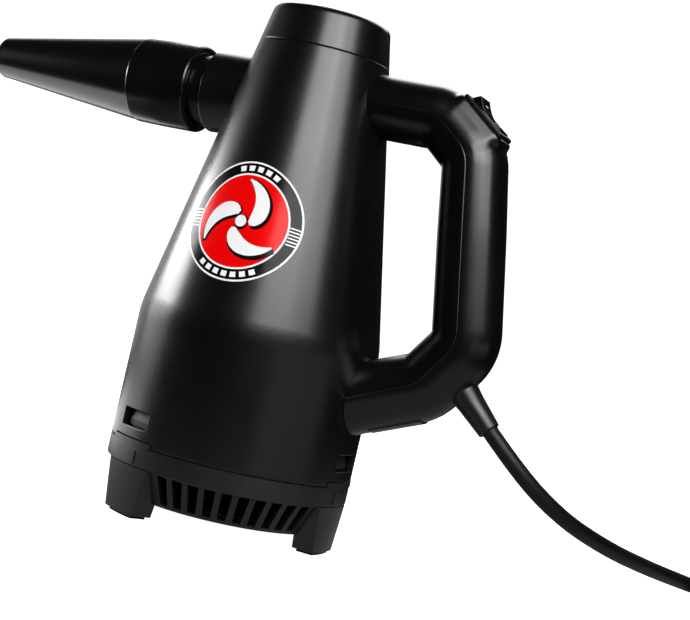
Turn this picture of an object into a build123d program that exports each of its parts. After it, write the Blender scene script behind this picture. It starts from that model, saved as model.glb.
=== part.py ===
from build123d import *
import math
import os

# Handheld car dryer blower. All sizes in millimetres, +Z up, feet on Z = 0.
# Shapes are drawn round the barrel's own axis, then moved by AXIS_X, so that the
# origin ends up under the middle of the whole object without its cord.
# The nozzle points along -X and the handle is on the +X side.

AXIS_X = 33.25  # barrel axis from the origin

# barrel
BODY_R = 65.8
WALL = 2.8
SEAM_Z = 37.5  # joint between base cover and barrel
SHOULDER_Z = 107.9  # the cylinder turns into the cone here
SHOULDER_ROUND = 60.0
CONE_SLOPE = 0.197  # loss of radius for each millimetre of height
CAP_Z = 259.4  # joint between barrel and cap
TOP_Z = 280.6
RIM_ROUND = 4.2  # cap's upper edge

# base cover
PAD_H = 2.2
PAD_PROUD = 1.7
BASE_FLOOR = 9.0
FLOOR_T = 2.6
RECESS_TOP = 26.3
PANEL_R_LOW = 55.0
PANEL_R_TOP = 64.3
FOOT_R_LOW = 64.6
FOOT_R_IN = 51.0
FOOT_HALF_TOP = 18.4
FOOT_HALF_LOW = 13.0
SPIGOT_R = 62.6
SPIGOT_T = 2.2
SPIGOT_TOP = 44.5
SLOTS_PER_PANEL = 10
SLOT_PITCH = 8.0  # degrees
SLOT_HALF_TOP = 2.9
SLOT_HALF_LOW = 2.2
SLOT_Z = (10.9, 25.9)

# latches, one over each foot
LATCH_ANGLES = (0, 120, 240)
WINDOW_HALF = 10.3  # degrees
WINDOW_Z = (45.3, 54.4)
TONGUE_HALF = 8.3
TONGUE_R = 61.4
TONGUE_T = 1.7
LIP_HALF = 15.0
LIP_Z = 39.7
LIP_R = 66.3

# outlet and nozzle, measured along the outlet axis from the barrel's axis
OUTLET_Z = 231.0
OUTLET_DROOP = 1.2  # degrees that the outlet points down
TUBE_R = 19.2
TUBE_BORE = 16.9
COLLAR_R = 22.3
COLLAR_START = 30.0  # trimmed to the barrel's surface
COLLAR_END = 58.5
TUBE_START = 27.0
TUBE_END = 90.0
NOZZLE_BACK = 67.2
NOZZLE_TIP = 198.2
NOZZLE_R_BACK = 24.1
NOZZLE_R_WAIST = 23.1
NOZZLE_WAIST = 103.5
NOZZLE_R_TIP = 11.3
TIP_BORE = 8.0
TIP_LAND = 8.0
NOZZLE_GAP = 0.3

# handle: centre line in the XZ plane, from the upper arm round to the lower arm
HANDLE_WALL = 2.5
HANDLE_BENDS = (20.0, 19.5, 19.5, 20.0)
ARM_Z = 237.9
HANDLE_LINE = (
    (24.0, ARM_Z),
    (75.4, ARM_Z),
    (96.2, 221.5),
    (114.8, 124.2),
    (98.0, 99.6),
    (44.0, 76.3),
)
# share of the line's length, and the tube's radius there
HANDLE_RADII = ((0.0, 16.9), (0.22, 16.9), (0.45, 18.0), (0.66, 18.2), (1.0, 18.8))

# switch platform on the handle's upper outer corner
PLATFORM_AT = (97.7, 241.3)
PLATFORM_TILT = 37.7  # degrees from level, falling towards +X
PLATFORM_LONG = 34.0
PLATFORM_WIDE = 24.0
PLATFORM_DEPTH = 15.0
PLATFORM_DRAFT = 20.0
BEZEL_LONG = 30.0
BEZEL_WIDE = 22.0
BEZEL_T = 2.0
ROCKER_LONG = 24.0
ROCKER_WIDE = 16.4
ROCKER_PIVOT = 1.4  # below the platform face
ROCKER_HIGH = 6.8
ROCKER_LOW = 2.4
SWITCH_LONG = 26.4
SWITCH_WIDE = 18.6
SWITCH_DEEP = 16.5
WELL_DEEP = 8.6  # room under the rocker

# cord
CORD_R = 4.35
RELIEF_ROOT = (116.8, 103.4)
RELIEF_DROP = 42.0  # degrees below level
RELIEF_LONG = 27.0
RELIEF_R_ROOT = 8.9
RELIEF_R_END = 5.9
TAIL_LONG = 20.5  # jacketed end held inside the handle
TAIL_TIP = 8.0  # where the boot takes over from it, measured along the boot
LEAD_R = 1.1
FLOOR_GAP = 0.05

# the cord's route from the boot's root down to the floor and on to the coil
CORD_LAY = (
    (176.0, 22.0, 50.5),
    (197.0, 60.0, 36.5),
    (213.0, 107.0, 26.5),
    (225.0, 157.0, 18.0),
    (232.0, 207.0, 10.3),
    (235.0, 252.0, CORD_R + FLOOR_GAP),
    (235.0, 290.0, CORD_R + FLOOR_GAP),
)
# coil: four layers of turns, wound clockwise as seen from above
COIL_R_TURN = 59.5  # centre line of the outermost turn
COIL_R_OUT = COIL_R_TURN + CORD_R
COIL_R_IN = 32.1
COIL_H = 8 * CORD_R + 0.1
# from the coil's top layer down to the plug, as distance along -Y and height
PLUG_LAY = ((0.0, 30.5), (31.0, 30.3), (62.0, 20.2), (93.0, 8.6), (118.0, 8.6))
PLUG_RELIEF = 16.0
PLUG_LONG = 30.0
PLUG_WIDE = 25.0
PLUG_HIGH = 17.0
BLADE_LONG = 17.0
BLADE_PITCH = 12.7

# motor and fan
GUARD_Z = 56.0
GUARD_T = 3.0
GUARD_R = 62.4
GUARD_SCREW_X = 58.8
FAN_CASE_R = 54.0
FAN_CASE_Z = (62.0, 86.0)
FAN_EYE_R = 20.0
FAN_R = 49.0
FAN_Z = (65.5, 78.5)
FAN_BLADES = 9
DIFFUSER_Z = (81.0, 89.0)
STATOR_Z = (106.0, 144.0)
STATOR_R = 38.0
STATOR_BORE = 21.9
ARMATURE_R = 21.2
COMMUTATOR_R = 11.0
COMMUTATOR_Z = (154.0, 168.0)
SHAFT_R = 4.0
SHAFT_Z = (60.5, 185.0)
BEARING_R = 11.0
BEARING_H = 7.0
LOWER_BEARING_Z = 92.0
UPPER_BEARING_Z = 176.0
BRUSH_Z = 161.0
MOUNT_RIB_Z = 191.0
BOLT_AT = 35.8
BOLT_HOLE_R = 1.05

# badge on the -Y side of the cone
BADGE_R = 31.1
BADGE_Z = 161.9
BADGE_T = 0.3

os.makedirs("parts", exist_ok=True)


def save(shape, node):
    """Write one node, moved from the barrel's axis to the object's origin."""
    export_step(Pos(AXIS_X, 0, 0) * shape, f"parts/{node}.step")


def cone_radius(z):
    """Outer radius of the barrel or cap at a height."""
    return BODY_R - CONE_SLOPE * max(0.0, z - SHOULDER_Z)


def turned(*corners):
    """Solid of revolution about Z. A corner is (radius, z) or (radius, z, rounding)."""
    face = make_face(Polyline(*[(c[0], c[1]) for c in corners], close=True))
    for corner in corners:
        if len(corner) > 2:
            at = Vector(corner[0], corner[1])
            vertex = min(face.vertices(), key=lambda v: (Vector(v.X, v.Y) - at).length)
            face = fillet(vertex, corner[2])
    return revolve(Plane.XZ * face, Axis.Z)


def ring(r_out, r_in, z_low, z_high):
    """Plain tube round Z."""
    return turned((r_in, z_low), (r_out, z_low), (r_out, z_high), (r_in, z_high))


def disc(radius, z_low, z_high):
    """Plain cylinder on Z."""
    return Pos(0, 0, z_low) * extrude(Circle(radius), z_high - z_low)


def sector(half_angle, z_low, z_high, reach=90.0):
    """Wedge that spreads half_angle degrees to each side of +X."""
    rise = reach * math.tan(math.radians(half_angle))
    face = make_face(Polyline((0, 0), (reach, -rise), (reach, rise), close=True))
    return Pos(0, 0, z_low) * extrude(face, z_high - z_low)


def radial_prism(half_top, half_low, z_low, z_high, r_in, r_out):
    """Block along +X whose end view is a trapezium."""
    corners = ((-half_low, z_low), (half_low, z_low), (half_top, z_high), (-half_top, z_high))
    face = Plane.YZ * make_face(Polyline(*corners, close=True))
    return Pos(r_in, 0, 0) * extrude(face, r_out - r_in, dir=(1, 0, 0))


def around(shape, angles):
    """Copies of a shape turned about Z."""
    return [Rot(0, 0, angle) * shape for angle in angles]


def bar(x_size, y_size, z_low, z_high, x=0.0, y=0.0):
    """Box with its height given by two levels."""
    return Pos(x, y, (z_low + z_high) / 2) * Box(x_size, y_size, z_high - z_low)


def barrel_outside(inset=0.0, z_low=SEAM_Z, z_high=CAP_Z):
    """Filled form of the barrel's outer surface, shrunk by inset."""
    return turned(
        (0, z_low),
        (BODY_R - inset, z_low),
        (BODY_R - inset, SHOULDER_Z, SHOULDER_ROUND),
        (cone_radius(z_high) - inset, z_high),
        (0, z_high),
    )


# outlet axis: local +Z runs from the barrel's axis out through the nozzle
OUTLET = Pos(0, 0, OUTLET_Z) * Rot(0, -90 - OUTLET_DROOP, 0)
# switch platform: local +Z is its outward normal and local +X runs down its slope
PLATFORM = Pos(PLATFORM_AT[0], 0, PLATFORM_AT[1]) * Rot(0, PLATFORM_TILT, 0)
# rocker's pivot pin, along Y just under the platform face
PIVOT_PIN = Pos(0, 0, -ROCKER_PIVOT) * Rot(90, 0, 0)
# strain relief: local +Z is the way the cord leaves
RELIEF = Pos(RELIEF_ROOT[0], 0, RELIEF_ROOT[1]) * Rot(0, 90 + RELIEF_DROP, 0)


def handle_spot(corner, along):
    """Place on the run after a corner of the handle's line; local +Z points away from the finger gap."""
    start = HANDLE_LINE[corner]
    end = HANDLE_LINE[corner + 1]
    long = math.dist(start, end)
    way_x = (end[0] - start[0]) / long
    way_z = (end[1] - start[1]) / long
    lean = math.degrees(math.atan2(-way_z, way_x))
    return Pos(start[0] + way_x * along, 0, start[1] + way_z * along) * Rot(0, lean, 0)


# cover strip let into the lower arm's underside
HANDLE_PLATE_SPOT = handle_spot(4, 18) * Pos(0, 0, HANDLE_RADII[-1][1] - 1.2)
# screws that hold the handle halves together, driven from the finger side
HANDLE_SCREWS = (handle_spot(0, 34), handle_spot(2, 37), handle_spot(2, 81), handle_spot(4, 12))
SCREW_SEAT = -6.0  # under the head, from the handle's centre line


# ---------------------------------------------------------------- handle forms
def handle_path():
    """Centre line of the handle with rounded corners."""
    return FilletPolyline(*[(x, 0, z) for x, z in HANDLE_LINE], radius=list(HANDLE_BENDS))


def handle_tube(inset=0.0):
    """Filled tube along the handle's centre line, thicker towards its lower end."""
    path = handle_path()
    sections = [
        Plane(origin=path @ share, z_dir=path % share) * Circle(radius - inset)
        for share, radius in HANDLE_RADII
    ]
    return sweep(sections, path=path, multisection=True)


def platform_block(grow=0.0):
    """Tapered block that carries the switch, widening down into the tube."""
    top = RectangleRounded(PLATFORM_LONG + 2 * grow, PLATFORM_WIDE + 2 * grow, 6 + grow)
    return PLATFORM * extrude(top, -PLATFORM_DEPTH, taper=-PLATFORM_DRAFT)


def handle_solid():
    """Both handle halves as one hollow tube with its screw posts, trimmed to the barrel."""
    hollow = handle_tube(HANDLE_WALL)
    for spot in HANDLE_SCREWS:
        hollow -= spot * Cylinder(4.4, 60)
    whole = handle_tube() + platform_block() - hollow
    whole -= PLATFORM * Pos(0, 0, -SWITCH_DEEP / 2) * Box(
        SWITCH_LONG + 0.4, SWITCH_WIDE + 0.4, SWITCH_DEEP + 1
    )
    whole -= PLATFORM * Pos(0, 0, 10) * Box(60, 60, 20)
    whole -= RELIEF * turned(*relief_outline(0.1))
    for spot in HANDLE_SCREWS:
        whole -= spot * disc(3.1, -40, SCREW_SEAT)
        whole -= spot * disc(1.6, SCREW_SEAT - 1, 0)
        whole -= spot * disc(1.35, -1, 10)
    return whole - barrel_outside()


def handle_inside():
    """Region on the finger side of the handle's centre line."""
    path = handle_path()
    closing = Polyline(path @ 1, (0, 0, HANDLE_LINE[-1][1]), (0, 0, ARM_Z), path @ 0)
    face = make_face([*path.edges(), *closing.edges()])
    return extrude(face, 60, dir=(0, 1, 0), both=True)


# ---------------------------------------------------------------- casing
def make_body_shell():
    shell = barrel_outside() - barrel_outside(WALL, SEAM_Z - 1, CAP_Z + 1)
    window = (ring(BODY_R + 5, BODY_R - 8, *WINDOW_Z)) & sector(WINDOW_HALF, *WINDOW_Z)
    notch = ring(BODY_R + 5, BODY_R - 8, 30, LIP_Z + 0.3)
    notch = notch & sector(LIP_HALF + 0.3, 30, LIP_Z + 0.3)
    for cutter in around(window, LATCH_ANGLES) + around(notch, LATCH_ANGLES):
        shell -= cutter
    shell -= OUTLET * Pos(0, 0, 45) * Cylinder(TUBE_R + 0.1, 60)
    shell -= Pos(40, 0, ARM_Z) * Rot(0, 90, 0) * Cylinder(6, 40)
    boss = bar(9, 9, GUARD_Z + GUARD_T, 76, x=59.3) & disc(BODY_R - WALL + 0.5, 0, 100)
    boss -= Pos(GUARD_SCREW_X, 0, 0) * disc(1.45, GUARD_Z, 72)
    for copy in around(boss, (60, 180, 300)):
        shell += copy
    rib_r = cone_radius(MOUNT_RIB_Z) - WALL + 0.4
    spider = ring(15, 9.5, MOUNT_RIB_Z - 6, MOUNT_RIB_Z + 3)
    for angle in (45, 135, 225, 315):
        arm = bar(rib_r - 12, 2.4, MOUNT_RIB_Z - 6, MOUNT_RIB_Z + 3, x=(rib_r + 12) / 2)
        spider += Rot(0, 0, angle) * arm
    shell += spider & barrel_outside(WALL - 0.4)
    return shell


def make_top_cap():
    r_low = cone_radius(CAP_Z)
    r_top = cone_radius(TOP_Z)
    cap = turned(
        (0, CAP_Z), (r_low, CAP_Z), (r_top, TOP_Z, RIM_ROUND), (0, TOP_Z)
    )
    cap -= turned(
        (0, CAP_Z - 1), (r_low - WALL - 1.6, CAP_Z - 1), (r_top - WALL - 1.6, TOP_Z - 2.6), (0, TOP_Z - 2.6)
    )
    collar_r = r_low - WALL
    return cap + ring(collar_r, collar_r - 1.8, CAP_Z - 6, CAP_Z + 4)


def make_base_cover():
    cover = turned(
        (0, BASE_FLOOR),
        (PANEL_R_LOW, BASE_FLOOR, 0.8),
        (PANEL_R_TOP, RECESS_TOP),
        (BODY_R - 0.5, RECESS_TOP),
        (BODY_R, RECESS_TOP + 0.5),
        (BODY_R, SEAM_Z - 0.7),
        (BODY_R - 0.5, SEAM_Z - 0.3),
        (SPIGOT_R, SEAM_Z - 0.3),
        (SPIGOT_R, SPIGOT_TOP),
        (0, SPIGOT_TOP),
    )
    foot = radial_prism(FOOT_HALF_TOP, FOOT_HALF_LOW, PAD_PROUD, RECESS_TOP, FOOT_R_IN, 80)
    foot &= turned((0, 0), (FOOT_R_LOW - 0.2, 0), (BODY_R, RECESS_TOP + 0.5), (0, RECESS_TOP + 0.5))
    pocket = radial_prism(
        FOOT_HALF_TOP - 2.4, FOOT_HALF_LOW - 2.4, PAD_PROUD + 4, RECESS_TOP + 3, FOOT_R_IN + 1.5, 60
    )
    for copy in around(foot, LATCH_ANGLES):
        cover += copy
    in_r = SPIGOT_R - SPIGOT_T
    cover -= turned(
        (0, BASE_FLOOR + FLOOR_T),
        (PANEL_R_LOW - 2.6, BASE_FLOOR + FLOOR_T),
        (in_r, RECESS_TOP - 0.5),
        (in_r, SPIGOT_TOP + 1),
        (0, SPIGOT_TOP + 1),
    )
    slot = radial_prism(SLOT_HALF_TOP, SLOT_HALF_LOW, *SLOT_Z, 40, 80)
    slot &= disc(BODY_R + 5, SLOT_Z[0], RECESS_TOP)
    first = -(SLOTS_PER_PANEL - 1) / 2
    slot_angles = [
        60 + panel + (first + n) * SLOT_PITCH for panel in LATCH_ANGLES for n in range(SLOTS_PER_PANEL)
    ]
    # the slots stop at the panel, under the band that carries the latches
    slot &= turned((0, 0), (PANEL_R_LOW + 3, 0), (PANEL_R_TOP + 0.9, SLOT_Z[1]), (0, SLOT_Z[1]))
    for copy in around(slot, slot_angles) + around(pocket, LATCH_ANGLES):
        cover -= copy
    rib = bar(40, 2.0, BASE_FLOOR + 1, RECESS_TOP - 1.5, x=32)
    hub = ring(14, 12, BASE_FLOOR + 1, RECESS_TOP - 1.5)
    for copy in around(rib, range(0, 360, 60)) + [hub]:
        cover += copy
    tongue = ring(TONGUE_R, TONGUE_R - TONGUE_T, SPIGOT_TOP - 3, WINDOW_Z[1] + 0.4)
    bump = turned(
        (TONGUE_R - 0.4, WINDOW_Z[0] + 0.8),
        (SPIGOT_R, WINDOW_Z[0] + 0.8),
        (SPIGOT_R, WINDOW_Z[0] + 3.6),
        (TONGUE_R - 0.4, WINDOW_Z[1] - 0.6),
    )
    tongue = (tongue + bump) & sector(TONGUE_HALF, 38, 58)
    relief_cut = ring(SPIGOT_R + 1, in_r - 1, SEAM_Z + 1, SPIGOT_TOP + 1)
    relief_cut &= sector(TONGUE_HALF + 1.2, 0, 90) - sector(TONGUE_HALF, -1, 91, 91)
    lip = ring(LIP_R, SPIGOT_R - 0.6, SEAM_Z - 1, LIP_Z) & sector(LIP_HALF, 0, 90)
    thumb = ring(BODY_R + 0.5, BODY_R - 1, 27.6, 34.4) & sector(6.6, 0, 90)
    for angle in LATCH_ANGLES:
        turn = Rot(0, 0, angle)
        cover -= turn * relief_cut
        cover += turn * tongue
        cover += turn * lip
        cover += turn * thumb
        cover -= turn * foot_pad_form()
    return cover


def foot_pad_form():
    """Rubber pad under the foot on the +X side, and the recess that holds it."""
    pad = radial_prism(
        FOOT_HALF_LOW - 2.4, FOOT_HALF_LOW - 2.4, 0, PAD_H, FOOT_R_IN + 1.6, 80
    )
    return pad & disc(FOOT_R_LOW - 1.9, 0, 10)


def make_outlet_tube():
    """Spigot for the nozzle, with a collar against the barrel and a flange inside it."""
    tube = turned(
        (TUBE_BORE, TUBE_START),
        (TUBE_R, TUBE_START),
        (TUBE_R, COLLAR_START),
        (COLLAR_R, COLLAR_START),
        (COLLAR_R, COLLAR_END, 0.8),
        (TUBE_R, COLLAR_END),
        (TUBE_R, TUBE_END, 0.8),
        (TUBE_BORE, TUBE_END, 0.8),
    )
    tube = OUTLET * tube
    collar_trim = barrel_outside() - OUTLET * Pos(0, 0, 45) * Cylinder(TUBE_R, 80)
    tube -= collar_trim
    inside = barrel_outside(WALL) & OUTLET * Pos(0, 0, 40) * Cylinder(TUBE_R + 3, 30)
    inside -= barrel_outside(WALL + 1.8)
    inside -= OUTLET * Pos(0, 0, 45) * Cylinder(TUBE_BORE, 80)
    return tube + inside


def make_nozzle():
    """Soft push-on nozzle: a socket over the spigot, then a long taper to the tip."""
    socket_end = TUBE_END + 1.0
    form = turned(
        (TUBE_R + NOZZLE_GAP, NOZZLE_BACK, 1.2),
        (NOZZLE_R_BACK, NOZZLE_BACK, 1.8),
        (NOZZLE_R_BACK - 0.2, NOZZLE_BACK + 20),
        (NOZZLE_R_WAIST, NOZZLE_WAIST),
        (NOZZLE_R_TIP, NOZZLE_TIP, 3.1),
        (TIP_BORE, NOZZLE_TIP),
        (TIP_BORE, NOZZLE_TIP - TIP_LAND),
        (TUBE_BORE, socket_end),
        (TUBE_R + NOZZLE_GAP, socket_end),
    )
    return OUTLET * form


def make_handle():
    """The two halves meet along the handle's centre line."""
    whole = handle_solid()
    inside = handle_inside()
    front = whole & inside
    back = whole - inside
    slot = HANDLE_PLATE_SPOT * Pos(0, 0, 1.2) * Box(30, 15, 4)
    return front - slot, back - slot


def make_handle_plate():
    plate = extrude(RectangleRounded(29.4, 14.4, 3), 1.6)
    return HANDLE_PLATE_SPOT * Pos(0, 0, -0.8) * plate


def make_badge():
    """Thin round label that follows the cone."""
    skin = barrel_outside(-BADGE_T) - barrel_outside(0.0)
    lean = math.degrees(math.atan(CONE_SLOPE))
    spot = Pos(0, -cone_radius(BADGE_Z), BADGE_Z) * Rot(90 - lean, 0, 0)
    return skin & spot * Cylinder(BADGE_R, 60)


# ---------------------------------------------------------------- switch
def make_switch_bezel():
    plate = extrude(RectangleRounded(BEZEL_LONG, BEZEL_WIDE, 2.0), BEZEL_T)
    plate = chamfer(plate.faces().sort_by(Axis.Z)[-1].edges(), 0.7)
    hole = Box(ROCKER_LONG + 0.8, ROCKER_WIDE + 0.8, 10)
    return PLATFORM * (plate - hole)


def make_switch_body():
    case = Pos(0, 0, -SWITCH_DEEP / 2) * Box(SWITCH_LONG, SWITCH_WIDE, SWITCH_DEEP)
    case -= Pos(0, 0, -WELL_DEEP / 2) * Box(ROCKER_LONG + 0.8, ROCKER_WIDE + 0.8, WELL_DEEP)
    return PLATFORM * (case + PIVOT_PIN * Cylinder(1.2, ROCKER_WIDE + 1.6))


def make_switch_rocker():
    """Two-way rocker in its rest state: upper end raised, lower end pressed."""
    half = ROCKER_LONG / 2
    side = make_face(
        Polyline(
            (-half - 1, -2.6),
            (-half - 1, ROCKER_HIGH),
            (-half + 2.4, ROCKER_HIGH),
            (-1.0, 2.6),
            (half + 1, ROCKER_LOW),
            (half + 1, -1.6),
            (0, -4.4),
            close=True,
        )
    )
    rocker = extrude(Plane.XZ * side, ROCKER_WIDE / 2, both=True)
    # both ends are round about the pivot, so that they clear the bezel as it tips
    rocker &= PIVOT_PIN * Cylinder(half, ROCKER_WIDE + 2)
    return PLATFORM * (rocker - PIVOT_PIN * Cylinder(1.25, ROCKER_WIDE + 2))


def make_switch_terminals():
    blade = Box(0.8, 4.8, 6.0)
    spots = [Pos(x, y, -SWITCH_DEEP - 3.0) for x, y in ((-7, -4), (-7, 4), (5, -4), (5, 4))]
    return Compound(children=[PLATFORM * spot * blade for spot in spots])


# ---------------------------------------------------------------- air path
def make_filter_foam():
    return disc(SPIGOT_R - SPIGOT_T - 1.0, RECESS_TOP - 1.4, SEAM_Z - 0.5)


def make_fan_guard():
    """Finger guard under the fan, screwed to the barrel's three bosses."""
    guard = ring(GUARD_R, 50.0, GUARD_Z, GUARD_Z + GUARD_T)
    for radius in (40, 30, 20, 10):
        guard += ring(radius + 1.2, radius - 1.2, GUARD_Z, GUARD_Z + GUARD_T)
    for angle in range(0, 360, 45):
        guard += Rot(0, 0, angle) * bar(45, 2.4, GUARD_Z, GUARD_Z + GUARD_T, x=30.5)
    hole = Pos(GUARD_SCREW_X, 0, 0) * disc(1.7, GUARD_Z - 1, GUARD_Z + 10)
    for copy in around(hole, (60, 180, 300)):
        guard -= copy
    return guard


def make_lower_mount():
    """Rubber ring between the guard and the fan case."""
    low = GUARD_Z + GUARD_T
    return turned((44, low), (53.2, low), (53.2, FAN_CASE_Z[0] - 0.05), (44, FAN_CASE_Z[0] - 0.05))


def make_fan_case():
    low, high = FAN_CASE_Z
    case = turned(
        (FAN_EYE_R, low),
        (FAN_CASE_R, low, 3.0),
        (FAN_CASE_R, high),
        (FAN_CASE_R - 1.2, high),
        (FAN_CASE_R - 1.2, low + 1.2, 1.8),
        (FAN_EYE_R + 1.2, low + 1.2),
        (FAN_EYE_R + 1.2, low + 2.4),
        (FAN_EYE_R, low + 2.4),
    )
    return case


def make_impeller():
    """Closed centrifugal wheel with swept-back blades."""
    low, high = FAN_Z
    wheel = ring(FAN_R, SHAFT_R, high - 1.4, high)
    wheel += turned((FAN_EYE_R + 2, low), (FAN_R, low + 4.6), (FAN_R, low + 5.8), (FAN_EYE_R + 2, low + 1.2))
    blade_line = ThreePointArc((22, 0), (36, 4), (FAN_R - 0.5, 15))
    blade = extrude(trace(blade_line, 1.3), high - low)
    bite = 0.6
    envelope = turned(
        (0, low + bite),
        (FAN_EYE_R + 2, low + bite),
        (FAN_R - bite, low + 4.6 + bite),
        (FAN_R - bite, high - bite),
        (0, high - bite),
    )
    blade = (Pos(0, 0, low) * blade) & envelope
    for copy in around(blade, [n * 360 / FAN_BLADES for n in range(FAN_BLADES)]):
        wheel += copy
    return wheel + ring(9.0, SHAFT_R, low + 1.0, high)


def make_impeller_nut():
    nut = extrude(RegularPolygon(6.5, 6), 4.0)
    return Pos(0, 0, FAN_Z[0] - 3.0) * (nut - Cylinder(SHAFT_R, 20))


def make_diffuser():
    """Fixed plate with return vanes that leads the air up past the motor."""
    low, high = DIFFUSER_Z
    plate = ring(46, 14, low, low + 1.6)
    vane_line = ThreePointArc((18, 0), (33, -5), (45, -19))
    vane = Pos(0, 0, low + 0.8) * extrude(trace(vane_line, 1.4), high - low - 0.8)
    for copy in around(vane, range(0, 360, 40)):
        plate += copy
    rim = ring(FAN_CASE_R - 1.3, 51.0, FAN_CASE_Z[1] - 4, high)
    for angle in range(20, 380, 40):
        rim += Rot(0, 0, angle) * bar(12.4, 2.2, low, low + 4, x=46.2)
    return plate + rim


# ---------------------------------------------------------------- motor
def make_shaft():
    return disc(SHAFT_R, *SHAFT_Z)


def make_armature_core():
    low, high = STATOR_Z[0] + 1, STATOR_Z[1] - 1
    core = ring(ARMATURE_R, SHAFT_R, low, high)
    slot = bar(6.4, 2.4, low - 1, high + 1, x=ARMATURE_R - 2.6)
    for copy in around(slot, range(0, 360, 30)):
        core -= copy
    return core


def make_armature_winding():
    """End turns above and below the core."""
    low, high = STATOR_Z[0] + 1, STATOR_Z[1] - 1
    below = turned((SHAFT_R, low), (SHAFT_R, low - 6), (16.5, low - 6, 3), (16.5, low))
    above = turned(
        (SHAFT_R, high), (16.5, high), (16.5, high + 6, 3), (9.5, COMMUTATOR_Z[0], 1), (SHAFT_R, COMMUTATOR_Z[0])
    )
    return Compound(children=[below, above])


def make_commutator():
    bars = ring(COMMUTATOR_R, SHAFT_R, *COMMUTATOR_Z)
    slit = bar(2.4, 0.5, COMMUTATOR_Z[0] + 2, COMMUTATOR_Z[1] + 1, x=COMMUTATOR_R)
    for copy in around(slit, range(0, 360, 15)):
        bars -= copy
    return bars


def bolt_holes():
    """Four holes through the stator and both brackets."""
    hole = Pos(BOLT_AT, 0, 0) * disc(BOLT_HOLE_R, STATOR_Z[0] - 9, STATOR_Z[1] + 9)
    return around(hole, (45, 135, 225, 315))


def make_stator_core():
    low, high = STATOR_Z
    core = ring(STATOR_R, 33.5, low, high)
    shoe = ring(25.0, STATOR_BORE, low, high) & sector(55, low, high)
    neck = bar(11, 26, low, high, x=29) - disc(24, low - 1, high + 1)
    for angle in (90, 270):
        core += Rot(0, 0, angle) * (shoe + neck)
    return core - bolt_holes()


def make_field_coils():
    low, high = STATOR_Z
    coil = bar(6.6, 42, low - 7, high + 7, x=29.1) - bar(9, 27, low - 0.3, high + 0.3, x=29.1)
    coil &= disc(33.3, low - 9, high + 9)
    return Compound(children=around(coil, (90, 270)))


def make_lower_bracket():
    """Spider that holds the lower bearing and stands on the diffuser."""
    low = DIFFUSER_Z[1]
    ring_high = STATOR_Z[0]
    bracket = ring(STATOR_R, 34.5, ring_high - 5, ring_high)
    bracket += ring(BEARING_R + 2.4, BEARING_R, low, LOWER_BEARING_Z + BEARING_H)
    for angle in (0, 90, 180, 270):
        bracket += Rot(0, 0, angle) * bar(25, 7, low, low + 3.5, x=24.5)
        bracket += Rot(0, 0, angle) * bar(3.2, 7, low, ring_high - 4, x=36.0)
    return bracket - bolt_holes()


def make_upper_bracket():
    """Bridge over the stator with the upper bearing seat and two brush arms."""
    low = STATOR_Z[1]
    seat = UPPER_BEARING_Z
    bracket = ring(STATOR_R, 34.0, low, low + 5)
    bracket += ring(BEARING_R + 2.4, BEARING_R, seat - 4, seat + BEARING_H)
    bracket += ring(BEARING_R + 2.4, SHAFT_R + 1.5, seat + BEARING_H, seat + BEARING_H + 1.6)
    for angle in (0, 180):
        bracket += Rot(0, 0, angle) * bar(26, 9, seat - 4, seat, x=25)
        bracket += Rot(0, 0, angle) * bar(3.6, 9, low + 1, seat, x=36.2)
    return bracket - bolt_holes()


def make_bearing(z_low):
    race = ring(BEARING_R, BEARING_R - 2.2, z_low, z_low + BEARING_H)
    cage = ring(BEARING_R - 2.2, SHAFT_R + 2.0, z_low + 0.8, z_low + BEARING_H - 0.8)
    return race + cage + ring(SHAFT_R + 2.0, SHAFT_R + 0.03, z_low, z_low + BEARING_H)


def make_brush_gear():
    """Holders, carbon brushes and springs on the two sides of the commutator."""
    holder = bar(20, 9.5, BRUSH_Z - 6, BRUSH_Z + 6, x=23.5) - bar(24, 6.6, BRUSH_Z - 4.2, BRUSH_Z + 4.2, x=23)
    holder += bar(1.6, 9.5, BRUSH_Z - 6, BRUSH_Z + 6, x=34.2)
    foot = bar(5, 9.5, STATOR_Z[1] + 5.02, BRUSH_Z - 6, x=35.6) + bar(4, 9.5, BRUSH_Z - 7.5, BRUSH_Z - 5.5, x=32)
    brush = bar(13, 6.2, BRUSH_Z - 4.0, BRUSH_Z + 4.0, x=COMMUTATOR_R + 0.35 + 6.5)
    coil_line = Helix(pitch=1.8, height=8.0, radius=2.4)
    wire = sweep(Plane(origin=coil_line @ 0, z_dir=coil_line % 0) * Circle(0.35), path=coil_line)
    spring = Pos(25.0, 0, BRUSH_Z) * Rot(0, 90, 0) * wire
    sides = (90, 270)
    return (
        Compound(children=around(holder + foot, sides)),
        Compound(children=around(brush, sides)),
        Compound(children=around(spring, sides)),
    )


def make_upper_mount():
    """Rubber boot between the bearing seat and the barrel's spider."""
    seat_top = UPPER_BEARING_Z + BEARING_H + 1.6
    boot = ring(9.2, SHAFT_R + 1.8, seat_top, MOUNT_RIB_Z + 1)
    return boot


# ---------------------------------------------------------------- fasteners
def screw(head_r, head_h, shank_r, length):
    """Pan-head screw pointing along +Z, head below Z = 0."""
    body = Pos(0, 0, -head_h) * extrude(Circle(head_r), head_h) + extrude(Circle(shank_r), length)
    return body - Pos(0, 0, -head_h) * Box(head_r * 1.5, 0.8, 1.2)


def make_guard_screws():
    one = Pos(GUARD_SCREW_X, 0, GUARD_Z) * screw(3.0, 1.8, 1.4, 13)
    return Compound(children=around(one, (60, 180, 300)))


def make_bracket_screws():
    """Long screws that clamp both brackets to the stator."""
    under = STATOR_Z[0] - 5
    one = Pos(BOLT_AT, 0, under) * screw(1.7, 1.3, BOLT_HOLE_R - 0.1, STATOR_Z[1] + 5 - under)
    return Compound(children=around(one, (45, 135, 225, 315)))


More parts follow.
